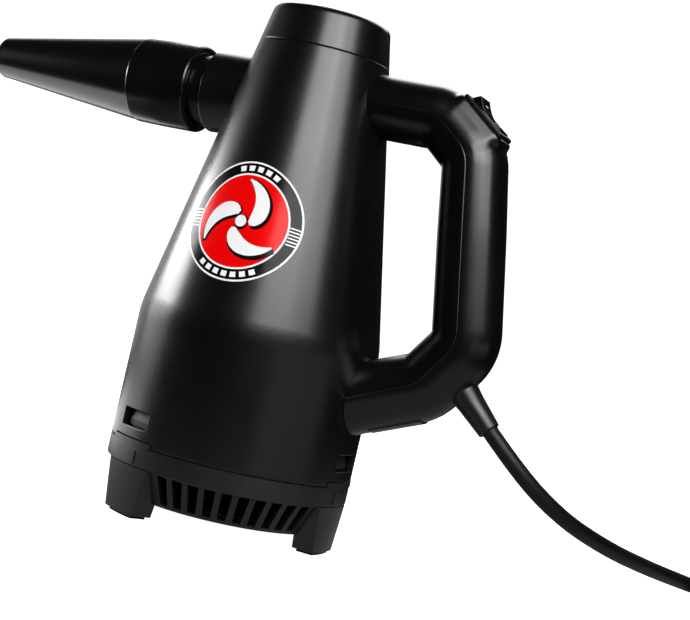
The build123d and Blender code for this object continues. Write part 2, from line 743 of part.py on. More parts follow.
def make_handle_screws():
    one = Pos(0, 0, SCREW_SEAT) * screw(2.9, 2.0, 1.3, 15)
    return Compound(children=[spot * one for spot in HANDLE_SCREWS])


def make_cord_clamp():
    """Bar across the cord's tail inside the handle."""
    return RELIEF * Pos(0, 0, -15.5) * (Box(12.5, 12.5, 4) - Cylinder(CORD_R + 0.05, 10))


# ---------------------------------------------------------------- cord
def relief_outline(grow=0.0):
    """Outer corners of the strain relief, from its inner flange to its tip."""
    return (
        (0, -8 - grow),
        (8.2 + grow, -8 - grow),
        (8.2 + grow, -5.5 + grow),
        (6.3 + grow, -5.5 + grow),
        (6.3 + grow, -1.0 - grow),
        (RELIEF_R_ROOT + grow, -0.2 - grow),
        (RELIEF_R_ROOT + grow, 2.6, 1.2),
        (7.4 + grow, 8.5, 14.0),
        (RELIEF_R_END + grow, RELIEF_LONG, 0.7),
        (0, RELIEF_LONG),
    )


def make_strain_relief():
    """Flared boot with a groove where the handle's wall grips it."""
    return RELIEF * (turned(*relief_outline()) - disc(CORD_R + 0.05, -9, RELIEF_LONG + 1))


def make_cord_tail():
    """The cord's jacketed end inside the boot and the handle."""
    return RELIEF * disc(CORD_R, -TAIL_LONG, TAIL_TIP)


def lead(*points):
    """Insulated wire through the points, which are either places or coordinates."""
    corners = [point.position if isinstance(point, Location) else point for point in points]
    path = FilletPolyline(*corners, radius=2.2)
    return sweep(Plane(origin=path @ 0, z_dir=path % 0) * Circle(LEAD_R), path=path)


def up_the_grip(side):
    """First places of a lead: out of the cord's tail and up one side of the grip."""
    return [
        RELIEF * Pos(0, side * 1.8, -TAIL_LONG),
        RELIEF * Pos(0, side * 1.8, -TAIL_LONG - 4),
        handle_spot(2, 84) * Pos(0, side * 6.2, 0),
        handle_spot(2, 30) * Pos(0, side * 6.2, 0),
    ]


def into_the_barrel(side):
    """Last places of a lead: along the upper arm and down to a brush holder."""
    return [
        (54, side * 6.0, ARM_Z - 1),
        (45, side * 3.5, ARM_Z),
        (33, side * 3.5, ARM_Z),
        (20, side * 10, ARM_Z - 16),
        (2, side * 28, MOUNT_RIB_Z + 5),
        (0, side * 29, BRUSH_Z + 6.2),
    ]


def make_lead_live():
    return lead(
        *up_the_grip(-1),
        PLATFORM * Pos(5, -4, -SWITCH_DEEP - 10),
        PLATFORM * Pos(5, -4, -SWITCH_DEEP - 6),
    )


def make_lead_neutral():
    return lead(
        *up_the_grip(1),
        PLATFORM * Pos(0, 5.4, -SWITCH_DEEP - 10.1),
        PLATFORM * Pos(-12, 6.0, -SWITCH_DEEP - 9.8),
        *into_the_barrel(1),
    )


def make_lead_switched():
    return lead(
        PLATFORM * Pos(-7, -4, -SWITCH_DEEP - 6),
        PLATFORM * Pos(-7, -4, -SWITCH_DEEP - 9.5),
        *into_the_barrel(-1),
    )


def largest_radii(points):
    """Radius at each corner: 0.45 of the shorter run, over the tangent of half the turn."""
    radii = []
    for before, here, after in zip(points, points[1:], points[2:]):
        run_in = here - before
        run_out = after - here
        half_turn = math.radians(run_in.get_angle(run_out) / 2)
        radii.append(0.45 * min(run_in.length, run_out.length) / math.tan(half_turn))
    return radii


def cord_tube(name, points):
    """Tube of straight runs joined by arcs, with its radii and volume printed."""
    points = [Vector(*point) for point in points]
    radii = largest_radii(points)
    path = FilletPolyline(*points, radius=radii)
    tube = sweep(Plane(origin=path @ 0, z_dir=path % 0) * Circle(CORD_R), path=path)
    share = tube.volume / (math.pi * CORD_R**2 * path.length)
    print(name, "radii", [round(radius) for radius in radii], "length", round(path.length, 1))
    print(name, "volume over section times length", round(share, 4))
    return tube


def make_cord():
    leaving = [(RELIEF * Pos(0, 0, height)).position for height in (TAIL_TIP, 47)]
    return cord_tube("cord", [*leaving, *CORD_LAY])


def coil_centre():
    end = CORD_LAY[-1]
    return end[0] + COIL_R_TURN, end[1]


def make_cord_end():
    """From the coil's outermost top turn down to the plug."""
    x, y = coil_centre()
    return cord_tube("cord_end", [(x + COIL_R_TURN, y - run, z) for run, z in PLUG_LAY])


def make_cord_coil():
    """Outer form of the coiled length, grooved where both ends of it leave."""
    x, y = coil_centre()
    form = turned(
        (COIL_R_IN, FLOOR_GAP, 3.5),
        (COIL_R_OUT, FLOOR_GAP, 3.5),
        (COIL_R_OUT, COIL_H, 3.5),
        (COIL_R_IN, COIL_H, 3.5),
    )
    groove = Box(20, 61, 2 * CORD_R + 1)
    arriving = Pos(-10 + CORD_R + 0.4 - COIL_R_TURN, -30, CORD_R) * groove
    leaving = Pos(10 - CORD_R - 0.4 + COIL_R_TURN, -30, PLUG_LAY[0][1]) * groove
    return Pos(x, y, 0) * (form - arriving - leaving)


def plug_place():
    """Rear of the plug; local +Z runs to its blades and local +Y is up."""
    x, y = coil_centre()
    run, height = PLUG_LAY[-1]
    return Pos(x + COIL_R_TURN, y - run, height) * Rot(90, 0, 0)


def make_plug_body():
    face = RectangleRounded(PLUG_WIDE, PLUG_HIGH, 6)
    grip = Pos(0, 0, PLUG_RELIEF) * extrude(face, PLUG_LONG)
    grip = fillet(grip.faces().sort_by(Axis.Z)[0].edges(), 4)
    grip = fillet(grip.faces().sort_by(Axis.Z)[-1].edges(), 1.2)
    boot = turned((0, 0), (5.4, 0), (7.4, PLUG_RELIEF + 1), (0, PLUG_RELIEF + 1))
    return plug_place() * (grip + boot)


def make_plug_blades():
    front = PLUG_RELIEF + PLUG_LONG
    blade = Pos(0, 0, front + BLADE_LONG / 2) * Box(1.5, 6.4, BLADE_LONG)
    blade -= Pos(0, 0, front + 12) * Rot(0, 90, 0) * Cylinder(1.6, 4)
    places = [plug_place() * Pos(side * BLADE_PITCH / 2, 0, 0) for side in (-1, 1)]
    return Compound(children=[place * blade for place in places])


if __name__ == "__main__":
    for number, angle in enumerate(LATCH_ANGLES, start=1):
        save(Rot(0, 0, angle) * foot_pad_form(), f"foot_pad_{number}")
    handle_front, handle_back = make_handle()
    save(handle_front, "handle_front")
    save(handle_back, "handle_back")
    save(make_bearing(LOWER_BEARING_Z), "lower_bearing")
    save(make_bearing(UPPER_BEARING_Z), "upper_bearing")
    brush_holders, brushes, brush_springs = make_brush_gear()
    save(brush_holders, "brush_holders")
    save(brushes, "brushes")
    save(brush_springs, "brush_springs")
    whole_pieces = (
        make_body_shell,
        make_top_cap,
        make_base_cover,
        make_outlet_tube,
        make_nozzle,
        make_handle_plate,
        make_handle_screws,
        make_badge,
        make_switch_bezel,
        make_switch_body,
        make_switch_rocker,
        make_switch_terminals,
        make_filter_foam,
        make_fan_guard,
        make_guard_screws,
        make_lower_mount,
        make_fan_case,
        make_impeller,
        make_impeller_nut,
        make_diffuser,
        make_shaft,
        make_armature_core,
        make_armature_winding,
        make_commutator,
        make_stator_core,
        make_field_coils,
        make_lower_bracket,
        make_upper_bracket,
        make_bracket_screws,
        make_upper_mount,
        make_strain_relief,
        make_cord_tail,
        make_cord_clamp,
        make_lead_live,
        make_lead_neutral,
        make_lead_switched,
        make_cord,
        make_cord_coil,
        make_cord_end,
        make_plug_body,
        make_plug_blades,
    )
    for make in whole_pieces:
        save(make(), make.__name__.removeprefix("make_"))
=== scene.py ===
"""Looks of the handheld car dryer blower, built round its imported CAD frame.

Sizes are in millimetres, in the barrel's own frame. The barrel's axis stands AXIS_X to the +X side of the
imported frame's origin. The camera, the lights and the stage are placed in metres.
"""

import math

import bmesh
import bpy
import numpy as np
from mathutils import Matrix, Vector


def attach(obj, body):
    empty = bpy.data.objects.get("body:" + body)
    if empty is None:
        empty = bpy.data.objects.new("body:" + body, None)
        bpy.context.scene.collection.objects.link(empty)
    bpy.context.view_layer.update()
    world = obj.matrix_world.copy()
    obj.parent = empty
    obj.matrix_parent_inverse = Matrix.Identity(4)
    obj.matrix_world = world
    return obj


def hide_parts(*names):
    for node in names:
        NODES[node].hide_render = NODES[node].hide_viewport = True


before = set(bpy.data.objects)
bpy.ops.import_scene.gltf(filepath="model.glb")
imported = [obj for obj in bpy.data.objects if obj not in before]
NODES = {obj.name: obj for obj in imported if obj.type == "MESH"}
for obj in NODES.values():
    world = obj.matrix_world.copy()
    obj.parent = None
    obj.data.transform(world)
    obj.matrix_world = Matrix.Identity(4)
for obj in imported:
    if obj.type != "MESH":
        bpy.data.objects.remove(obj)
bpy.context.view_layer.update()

scene = bpy.context.scene
MM = 0.001
AXIS_X = 33.25

# ---- CAD sizes that the pieces follow
BODY_R, WALL = 65.8, 2.8
SEAM_Z, CAP_Z, TOP_Z = 37.5, 259.4, 280.6
SHOULDER_Z, SHOULDER_ROUND, CONE_SLOPE = 107.9, 60.0, 0.197
LATCHES = (0, 120, 240)
WINDOW_HALF, WINDOW_Z = 10.3, (45.3, 54.4)
NOTCH_HALF, NOTCH_Z = 15.3, 40.0
OUTLET_Z, OUTLET_DROOP = 231.0, 1.2
ARM_Z = 237.9
HANDLE_LINE = ((24.0, ARM_Z), (75.4, ARM_Z), (96.2, 221.5), (114.8, 124.2), (98.0, 99.6), (44.0, 76.3))
HANDLE_BENDS = (20.0, 19.5, 19.5, 20.0)
HANDLE_RADII = ((0.0, 16.9), (0.22, 16.9), (0.45, 18.0), (0.66, 18.2), (1.0, 18.8))
HANDLE_WALL = 2.5
CORD_R = 4.35
SCREW_SPOTS = ((0, 34), (2, 37), (2, 81), (4, 12))  # run of the handle's line, and distance along it
SCREW_BORE_R = 3.1
PLATFORM_AT, PLATFORM_TILT = (97.7, 241.3), 37.7
PLATFORM_HALF_LONG, PLATFORM_HALF_WIDE, PLATFORM_CORNER = 17.0, 12.0, 6.0
PLATFORM_DRAFT, PLATFORM_DEPTH = 20.0, 15.0
SWITCH_HOLE_HALF = (13.7, 9.8)
LATCH_Z = 42.0  # higher parts of the base cover take the latch's look
CAP_RIM, SPIGOT_R, TUBE_BORE_R, COLLAR_R = 4.2, 19.2, 16.9, 22.3  # rounding of the cap, and the outlet tube
OUTLET_HOLE_R = 20.4
PIVOT_DEEP, ROCKER_END_R = 1.4, 11.9


# ---- placing
def moved(x=0.0, y=0.0, z=0.0):
    out = np.eye(4)
    out[:3, 3] = (x, y, z)
    return out


def turned(axis, degrees):
    return np.array(Matrix.Rotation(math.radians(degrees), 4, axis))


OUTLET = moved(0, 0, OUTLET_Z) @ turned("Y", -90 - OUTLET_DROOP)
PLATFORM = moved(PLATFORM_AT[0], 0, PLATFORM_AT[1]) @ turned("Y", PLATFORM_TILT)
RELIEF = moved(116.8, 0, 103.4) @ turned("Y", 132)


def handle_spot(corner, along):
    """Place on the run after a corner of the handle's line; local +Z points away from the finger gap."""
    (x0, z0), (x1, z1) = HANDLE_LINE[corner], HANDLE_LINE[corner + 1]
    long = math.hypot(x1 - x0, z1 - z0)
    wx, wz = (x1 - x0) / long, (z1 - z0) / long
    lean = math.degrees(math.atan2(-wz, wx))
    return moved(x0 + wx * along, 0, z0 + wz * along) @ turned("Y", lean)


def put(points, place):
    points = np.asarray(points, float)
    return points @ place[:3, :3].T + place[:3, 3]


# ---- mesh helpers
def new_object(name, data):
    obj = bpy.data.objects.new(name, data)
    scene.collection.objects.link(obj)
    return obj


class Form:
    """Vertices in millimetres and faces, gathered from several parts of one piece."""

    def __init__(self):
        self.verts, self.faces, self.slots = [], [], []
        self.count = 0

    def add(self, verts, faces, slot=0, place=None):
        verts = np.asarray(verts, float).reshape(-1, 3)
        if place is not None:
            verts = put(verts, place)
        self.verts.append(verts)
        self.faces += [tuple(int(i) + self.count for i in f) for f in faces]
        self.slots += [slot] * len(faces)
        self.count += len(verts)
        return self

    def build(self, name, materials, sharp=38.0, bevel=None, weights=None):
        verts = (np.concatenate(self.verts) + (AXIS_X, 0, 0)) * MM
        mesh = bpy.data.meshes.new(name)
        mesh.from_pydata(verts.tolist(), [], self.faces)
        for m in materials:
            mesh.materials.append(m)
        mesh.polygons.foreach_set("material_index", self.slots)
        mesh.validate(clean_customdata=False)
        bm = bmesh.new()
        bm.from_mesh(mesh)
        bmesh.ops.recalc_face_normals(bm, faces=bm.faces)
        bm.to_mesh(mesh)
        bm.free()
        obj = new_object(name, mesh)
        finish_mesh(obj, sharp, bevel, weights)
        return obj


def finish_mesh(obj, sharp, bevel=None, weights=None):
    """Smooth faces, sharp edges kept, and a small rounding on the edges that ask for one."""
    mesh = obj.data
    mesh.shade_smooth()
    mesh.set_sharp_from_angle(angle=math.radians(sharp))
    if weights is not None:
        layer = mesh.attributes.new("bevel_weight_edge", "FLOAT", "EDGE")
        for edge in mesh.edges:
            layer.data[edge.index].value = 1.0 if frozenset(edge.vertices) in weights else 0.0
    if bevel:
        mod = obj.modifiers.new("edges", "BEVEL")
        mod.width = bevel * MM
        mod.segments = 3
        mod.limit_method = "WEIGHT" if weights is not None else "ANGLE"
        mod.angle_limit = math.radians(32)
        mod.use_clamp_overlap = True
        mod.harden_normals = True


def unit(v):
    return v / np.linalg.norm(v)


def rotated(arm, angle):
    c, s = math.cos(angle), math.sin(angle)
    return np.array((arm[0] * c - arm[1] * s, arm[0] * s + arm[1] * c))


def rounded(corners, closed=True):
    """Profile with rounded corners. A corner is (r, z) or (r, z, rounding)."""
    support = 0.5  # beside a rounded corner, an extra point this far off keeps the flat run flat
    points = []
    count = len(corners)
    for i, corner in enumerate(corners):
        p = np.array(corner[:2], float)
        radius = corner[2] if len(corner) > 2 else 0.0
        a = np.array(corners[i - 1][:2], float) - p
        b = np.array(corners[(i + 1) % count][:2], float) - p
        if not closed and i in (0, count - 1):
            points.append(p)
            continue
        la, lb = np.linalg.norm(a), np.linalg.norm(b)
        u, v = a / la, b / lb
        inside = math.acos(max(-1.0, min(1.0, float(u @ v))))
        if radius <= 0 or inside > math.pi - 0.01:
            points.append(p)
            continue
        cut = min(radius / math.tan(inside / 2), 0.49 * la, 0.49 * lb)
        radius = cut * math.tan(inside / 2)
        middle = p + unit(u + v) * radius / math.sin(inside / 2)
        start, end = p + u * cut - middle, p + v * cut - middle
        turn = math.pi - inside
        steps = max(3, int(math.ceil(math.degrees(turn) / 11)))
        if la - cut > 3 * support:
            points.append(p + u * (cut + support))
        sign = 1.0 if start[0] * end[1] - start[1] * end[0] > 0 else -1.0
        for k in range(steps + 1):
            points.append(middle + rotated(start, sign * turn * k / steps))
        if lb - cut > 3 * support:
            points.append(p + v * (cut + support))
    return points


def lathe(profile, steps=144, closed=True):
    """Solid of revolution about local Z as vertices and faces."""
    profile = [np.array(p, float) for p in profile]
    verts, rows = [], []
    angles = [2 * math.pi * k / steps for k in range(steps)]
    for r, z in profile:
        if r < 1e-6:
            rows.append([len(verts)] * steps)
            verts.append((0, 0, z))
        else:
            rows.append(list(range(len(verts), len(verts) + steps)))
            verts += [(r * math.cos(a), r * math.sin(a), z) for a in angles]
    faces = []
    last = len(rows) if closed else len(rows) - 1
    for i in range(last):
        low, high = rows[i], rows[(i + 1) % len(rows)]
        for k in range(steps):
            n = (k + 1) % steps
            face = [low[k], low[n], high[n], high[k]]
            face = list(dict.fromkeys(face))
            if len(face) > 2:
                faces.append(face)
    return verts, faces


def shell(outer, inner, keep, wrap=False):
    """Closed wall between two matching grids; keep says which cells exist.

    Returns the vertices, the faces and the edges round the outer grid's openings.
    """
    rows, cols = outer.shape[:2]
    verts = np.concatenate([outer.reshape(-1, 3), inner.reshape(-1, 3)])
    shift = rows * cols
    wide = cols if wrap else cols - 1
    faces, rims = [], set()

    def at(i, j):
        return i * cols + (j % cols)

    def kept(i, j):
        if wrap:
            j %= wide
        return 0 <= i < rows - 1 and 0 <= j < wide and keep[i, j]

    for i in range(rows - 1):
        for j in range(wide):
            if not keep[i, j]:
                continue
            a, b, c, d = at(i, j), at(i, j + 1), at(i + 1, j + 1), at(i + 1, j)
            faces.append((a, b, c, d))
            faces.append((d + shift, c + shift, b + shift, a + shift))
            sides = ((a, b, (i - 1, j)), (b, c, (i, j + 1)), (c, d, (i + 1, j)), (d, a, (i, j - 1)))
            for p, q, other in sides:
                if not kept(*other):
                    faces.append((q, p, p + shift, q + shift))
                    rims.add(frozenset((p, q)))
    used = sorted({i for f in faces for i in f})
    new = {old: n for n, old in enumerate(used)}
    faces = [tuple(new[i] for i in f) for f in faces]
    rims = {frozenset(new[i] for i in e) for e in rims}
    return verts[used], faces, rims


def softened(node, name, materials, width):
    """Copy of a CAD solid with its edges rounded, to stand for it.

    A second material goes on what is higher than LATCH_Z. The rounded edges take material slots of their
    own, past the given ones, so that true_round knows them.
    """
    bm = bmesh.new()
    bm.from_mesh(NODES[node].data)
    bmesh.ops.remove_doubles(bm, verts=bm.verts, dist=4e-6)
    bmesh.ops.dissolve_degenerate(bm, edges=bm.edges, dist=2e-6)
    bmesh.ops.dissolve_limit(bm, angle_limit=math.radians(0.1), verts=bm.verts, edges=bm.edges)
    mesh = bpy.data.meshes.new(name)
    bm.to_mesh(mesh)
    bm.free()
    mesh.materials.clear()
    for m in materials * 2:
        mesh.materials.append(m)
    for p in mesh.polygons:
        p.material_index = 1 if len(materials) > 1 and p.center.z > LATCH_Z * MM else 0
    obj = new_object(name, mesh)
    finish_mesh(obj, sharp=30.0, bevel=width)
    obj.modifiers["edges"].segments = 2
    obj.modifiers["edges"].material = len(materials)
    return obj


def true_round(obj):
    """Faces that run round the barrel's axis take the exact normals of their cylinder or cone.

    Rounded edges, faces near the axis, level faces and faces that cut across keep their own normals.
    """
    nearest, most_aside, least_outward, last_face_slot = 0.02, 0.09, 0.1, 1
    graph = bpy.context.evaluated_depsgraph_get()
    solid = obj.evaluated_get(graph)
    mesh = bpy.data.meshes.new_from_object(solid, preserve_all_data_layers=True, depsgraph=graph)
    normals = np.empty(len(mesh.loops) * 3)
    mesh.corner_normals.foreach_get("vector", normals)
    normals = normals.reshape(-1, 3)
    spots = np.array([v.co for v in mesh.vertices]) - (AXIS_X * MM, 0, 0)
    for face in mesh.polygons:
        middle = face.center - Vector((AXIS_X * MM, 0, 0))
        reach = math.hypot(middle.x, middle.y)
        if face.material_index > last_face_slot or reach < nearest:
            continue
        n = face.normal
        outward = (n.x * middle.x + n.y * middle.y) / reach
        aside = (n.y * middle.x - n.x * middle.y) / reach
        if abs(aside) > most_aside or abs(outward) < least_outward:
            continue
        outward = math.copysign(math.hypot(outward, aside), outward)
        for loop in face.loop_indices:
            x, y, _ = spots[mesh.loops[loop].vertex_index]
            r = math.hypot(x, y)
            normals[loop] = (x / r * outward, y / r * outward, n.z)
    mesh.normals_split_custom_set(normals.tolist())
    obj.modifiers.clear()
    obj.data = mesh
    return obj


# ---- materials
class Look:
    """One procedural material under construction."""

    def __init__(self, name, colour, roughness, metallic=0.0):
        self.m = bpy.data.materials.new(name)
        self.m.use_nodes = True
        self.nt = self.m.node_tree
        self.link = self.nt.links.new
        self.shader = self.nt.nodes["Principled BSDF"]
        self.shader.inputs["Base Color"].default_value = (*colour, 1)
        self.shader.inputs["Roughness"].default_value = roughness
        self.shader.inputs["Metallic"].default_value = metallic
        self.where = self.nt.nodes.new("ShaderNodeTexCoord").outputs["Object"]
        self.last_normal = None

    def set(self, **values):
        for name, value in values.items():
            self.shader.inputs[name.replace("_", " ")].default_value = value
        return self

    def texture(self, kind, where, **values):
        """New node of a kind that reads a place, with the given input values."""
        node = self.nt.nodes.new("ShaderNode" + kind)
        for name, value in values.items():
            node.inputs[name].default_value = value
        self.link(where, node.inputs["Vector"])
        return node

    def noise(self, scale, detail=2.0, rough=0.5, stretch=None):
        where = self.where
        if stretch is not None:
            where = self.texture("Mapping", where, Scale=stretch).outputs["Vector"]
        return self.texture("TexNoise", where, Scale=scale, Detail=detail, Roughness=rough).outputs["Fac"]

    def cells(self, scale):
        return self.texture("TexVoronoi", self.where, Scale=scale).outputs["Distance"]

    def bands(self, scale, distortion=0.0):
        node = self.texture("TexWave", self.where, Scale=scale, Distortion=distortion)
        node.bands_direction = "Z"
        return node.outputs["Fac"]

    def ranged(self, source, low, high, start=0.0, end=1.0):
        node = self.nt.nodes.new("ShaderNodeMapRange")
        for key, value in (("From Min", start), ("From Max", end), ("To Min", low), ("To Max", high)):
            node.inputs[key].default_value = value
        self.link(source, node.inputs["Value"])
        return node.outputs["Result"]

    def rough(self, source, low, high, start=0.3, end=0.7):
        self.link(self.ranged(source, low, high, start, end), self.shader.inputs["Roughness"])
        return self

    def colours(self, source, first, second, start=0.3, end=0.7):
        node = self.nt.nodes.new("ShaderNodeValToRGB")
        node.color_ramp.elements[0].position = start
        node.color_ramp.elements[0].color = (*first, 1)
        node.color_ramp.elements[1].position = end
        node.color_ramp.elements[1].color = (*second, 1)
        self.link(source, node.inputs["Fac"])
        self.link(node.outputs["Color"], self.shader.inputs["Base Color"])
        return self

    def bump(self, source, strength, distance):
        node = self.nt.nodes.new("ShaderNodeBump")
        node.inputs["Strength"].default_value = strength
        node.inputs["Distance"].default_value = distance
        self.link(source, node.inputs["Height"])
        if self.last_normal is not None:
            self.link(self.last_normal, node.inputs["Normal"])
        self.last_normal = node.outputs["Normal"]
        self.link(self.last_normal, self.shader.inputs["Normal"])
        return self


def moulded(name, colour, low, high, grain=2300.0, depth=0.000012, strength=0.35, tone=1.25):
    """Satin moulded plastic: fine spark grain, and a finish that varies a little over the part."""
    look = Look(name, colour, (low + high) / 2)
    look.rough(look.noise(34, 3.0), low, high)
    look.colours(look.noise(19, 2.0), colour, tuple(c * tone for c in colour))
    look.bump(look.noise(grain, 1.5), strength, depth)
    return look


def grey(level):
    return (level, level, level)


SHELL = moulded("satin_black", (0.0016, 0.0016, 0.0017), 0.26, 0.30).m
HANDLE = moulded("satin_black_grip", (0.0015, 0.0015, 0.0016), 0.24, 0.29).m
BASE = moulded("satin_black_base", (0.0050, 0.0045, 0.0042), 0.30, 0.38).m
RUBBER = moulded("nozzle_rubber", grey(0.0018), 0.19, 0.25, grain=1500.0, depth=0.00002).m
LATCH = moulded("latch_black", grey(0.0020), 0.55, 0.65).m
PAD = moulded("pad_rubber", grey(0.011), 0.62, 0.75, grain=900.0, depth=0.00005, strength=0.5).m
SWITCH = moulded(
    "gloss_black", (0.0020, 0.0020, 0.0021), 0.07, 0.12, grain=700.0, depth=0.000004, strength=0.1
).m
FRAME_BLACK = moulded("frame_black", grey(0.003), 0.28, 0.34).m
INNER = moulded("inner_plastic", (0.030, 0.030, 0.032), 0.4, 0.5, grain=1200.0).m


def cord_look():
    look = Look("cord_jacket", (0.0018, 0.0018, 0.0019), 0.5).set(Specular_IOR_Level=0.3)
    look.rough(look.noise(60, 3.0), 0.42, 0.56)
    look.bump(look.noise(900, 3.0), 0.5, 0.00003)
    return look.m


def relief_look():
    look = Look("relief_vinyl", (0.0040, 0.0040, 0.0042), 0.36)
    look.rough(look.noise(80, 2.0), 0.30, 0.40)
    look.bump(look.noise(1300, 2.0), 0.35, 0.00002)
    return look.m


CORD = cord_look()
VINYL = relief_look()


def print_look(name, colour, roughness=0.20, level=0.14):
    look = Look(name, colour, roughness)
    look.rough(look.noise(220, 2.0), roughness * 0.85, roughness * 1.15)
    look.colours(look.noise(900, 2.0), colour, tuple(min(1.0, c * 1.04) for c in colour))
    return look.set(Specular_IOR_Level=level).m


RED = print_look("print_red", (0.80, 0.0012, 0.0016))
WHITE = print_look("print_white", grey(0.86))
BLACK = print_look("print_black", grey(0.003))
MARK = print_look("mark_white", (0.72, 0.72, 0.70), 0.3, 0.4)


def metal(name, colour, low, high, scale=120.0, stretch=(1, 1, 8)):
    look = Look(name, colour, (low + high) / 2, 1.0)
    streaks = look.noise(scale, 4.0, 0.6, stretch)
    look.rough(streaks, low, high)
    look.bump(streaks, 0.12, 0.00002)
    return look.m


STEEL = metal("steel", (0.56, 0.56, 0.57), 0.22, 0.38)
NICKEL = metal("nickel", (0.66, 0.62, 0.55), 0.12, 0.24)
BRASS = metal("brass", (0.70, 0.50, 0.22), 0.24, 0.40)
ALUMINIUM = metal("aluminium_cast", (0.60, 0.61, 0.62), 0.42, 0.58, 700.0, (1, 1, 1))


def lamination_look():
    look = Look("lamination", (0.16, 0.155, 0.15), 0.5, 0.85)
    sheets = look.bands(315.0)
    look.colours(sheets, (0.05, 0.048, 0.046), (0.22, 0.215, 0.21), 0.1, 0.5)
    look.rough(look.noise(90, 3.0), 0.40, 0.62)
    look.bump(sheets, 0.5, 0.00006)
    return look.m


def winding_look():
    look = Look("copper_winding", (0.42, 0.13, 0.045), 0.32, 0.9)
    wires = look.bands(330.0, 2.0)
    look.colours(wires, (0.16, 0.035, 0.012), (0.55, 0.19, 0.07), 0.1, 0.6)
    look.rough(look.noise(150, 3.0), 0.24, 0.40)
    look.bump(wires, 0.8, 0.00015)
    return look.m


def foam_look():
    look = Look("filter_foam", (0.05, 0.05, 0.052), 0.95)
    pores = look.cells(620.0)
    look.colours(pores, (0.012, 0.012, 0.013), (0.075, 0.075, 0.078), 0.1, 0.6)
    look.bump(pores, 1.0, 0.0006)
    return look.m


def plain_look(name, colour, low, high, metallic=0.0):
    look = Look(name, colour, (low + high) / 2, metallic)
    look.rough(look.noise(150, 3.0), low, high)
    look.bump(look.noise(1100, 2.0), 0.25, 0.00002)
    return look.m


LAMINATION = lamination_look()
WINDING = winding_look()
FOAM = foam_look()
COPPER_BAR = metal("commutator_bars", (0.72, 0.34, 0.18), 0.22, 0.36)
CARBON = plain_look("carbon", (0.018, 0.018, 0.019), 0.5, 0.66)
LEAD_BLACK = plain_look("lead_black", grey(0.012), 0.34, 0.46)
LEAD_WHITE = plain_look("lead_white", (0.62, 0.61, 0.58), 0.34, 0.46)
LEAD_RED = plain_look("lead_red", (0.42, 0.012, 0.01), 0.34, 0.46)
FIBRE = plain_look("clamp_plastic", (0.03, 0.03, 0.032), 0.4, 0.55)

NODE_LOOKS = (
    (SWITCH, "switch_body"),
    (BRASS, "switch_terminals brush_holders"),
    (STEEL, "handle_screws guard_screws impeller_nut shaft bracket_screws lower_bearing upper_bearing"),
    (STEEL, "brush_springs"),
    (FOAM, "filter_foam"),
    (INNER, "fan_guard fan_case impeller diffuser"),
    (PAD, "lower_mount upper_mount"),
    (LAMINATION, "armature_core stator_core"),
    (WINDING, "armature_winding field_coils"),
    (COPPER_BAR, "commutator"),
    (ALUMINIUM, "lower_bracket upper_bracket"),
    (CARBON, "brushes"),
    (CORD, "cord_tail"),
    (FIBRE, "cord_clamp"),
    (LEAD_BLACK, "lead_live"),
    (LEAD_WHITE, "lead_neutral"),
    (LEAD_RED, "lead_switched"),
    (NICKEL, "plug_blades"),
    (VINYL, "plug_body"),
)
for look, names in NODE_LOOKS:
    for name in names.split():
        for slot in NODES[name].material_slots:
            slot.material = look


def stands_for(obj, body, slot, *nodes):
    """The piece rides on a body and hides the CAD nodes that it stands for. The slot argument is not used."""
    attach(obj, body)
    if nodes:
        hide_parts(*nodes)


# ---- camera
azimuth, elevation, roll = (math.radians(a) for a in (21.0457, 0.6166, 13.13))
level_right = Vector((math.cos(azimuth), math.sin(azimuth), 0))
level_ahead = Vector((-math.sin(azimuth), math.cos(azimuth), 0))
ahead = level_ahead * math.cos(elevation) - Vector((0, 0, math.sin(elevation)))
level_up = level_right.cross(ahead)
right = level_right * math.cos(roll) + level_up * math.sin(roll)
up = level_up * math.cos(roll) - level_right * math.sin(roll)
CAMERA_PLACE = Vector((0.37211, -0.76396, 0.13737))


def framed(x_axis, y_axis, z_axis, place):
    return Matrix.Translation(place) @ Matrix((x_axis, y_axis, z_axis)).transposed().to_4x4()


camera_data = bpy.data.cameras.new("camera")
camera_data.lens = 80.46
camera_data.sensor_width = 36.0
camera_data.clip_start = 0.01
camera = new_object("camera", camera_data)
camera.matrix_world = framed(right, up, -ahead, CAMERA_PLACE)
scene.camera = camera


# ---- cord
def coil_points():
    """Turns of the put-away length: four layers, each laid side by side, wound clockwise from above."""
    points, per_turn, layers, turns = [], 20, 4, 2.625
    centre, r_out, spread = (294.5, 290.0), 59.5, 23.0
    floor_z, layer_step, ramp = 4.4, 2 * CORD_R, 3  # a layer climbs to the next over so many points
    count = int(per_turn * layers * turns)
    for k in range(1, count):
        turn = k / per_turn
        layer = min(int(turn / turns), layers - 1)
        share = turn / turns - layer
        r = r_out - spread * (share if layer % 2 == 0 else 1 - share)
        z = floor_z + layer_step * layer
        rise = (turn - layer * turns) * per_turn  # points since this layer began
        if layer and rise < ramp:
            z -= layer_step * (ramp - rise) / ramp * 0.5
        left = (turns - (turn - layer * turns)) * per_turn
        if layer < layers - 1 and left < ramp:
            z += layer_step * (ramp - left) / ramp * 0.5
        a = math.pi - 2 * math.pi * turn
        points.append((centre[0] + r * math.cos(a), centre[1] + r * math.sin(a), z))
    return points


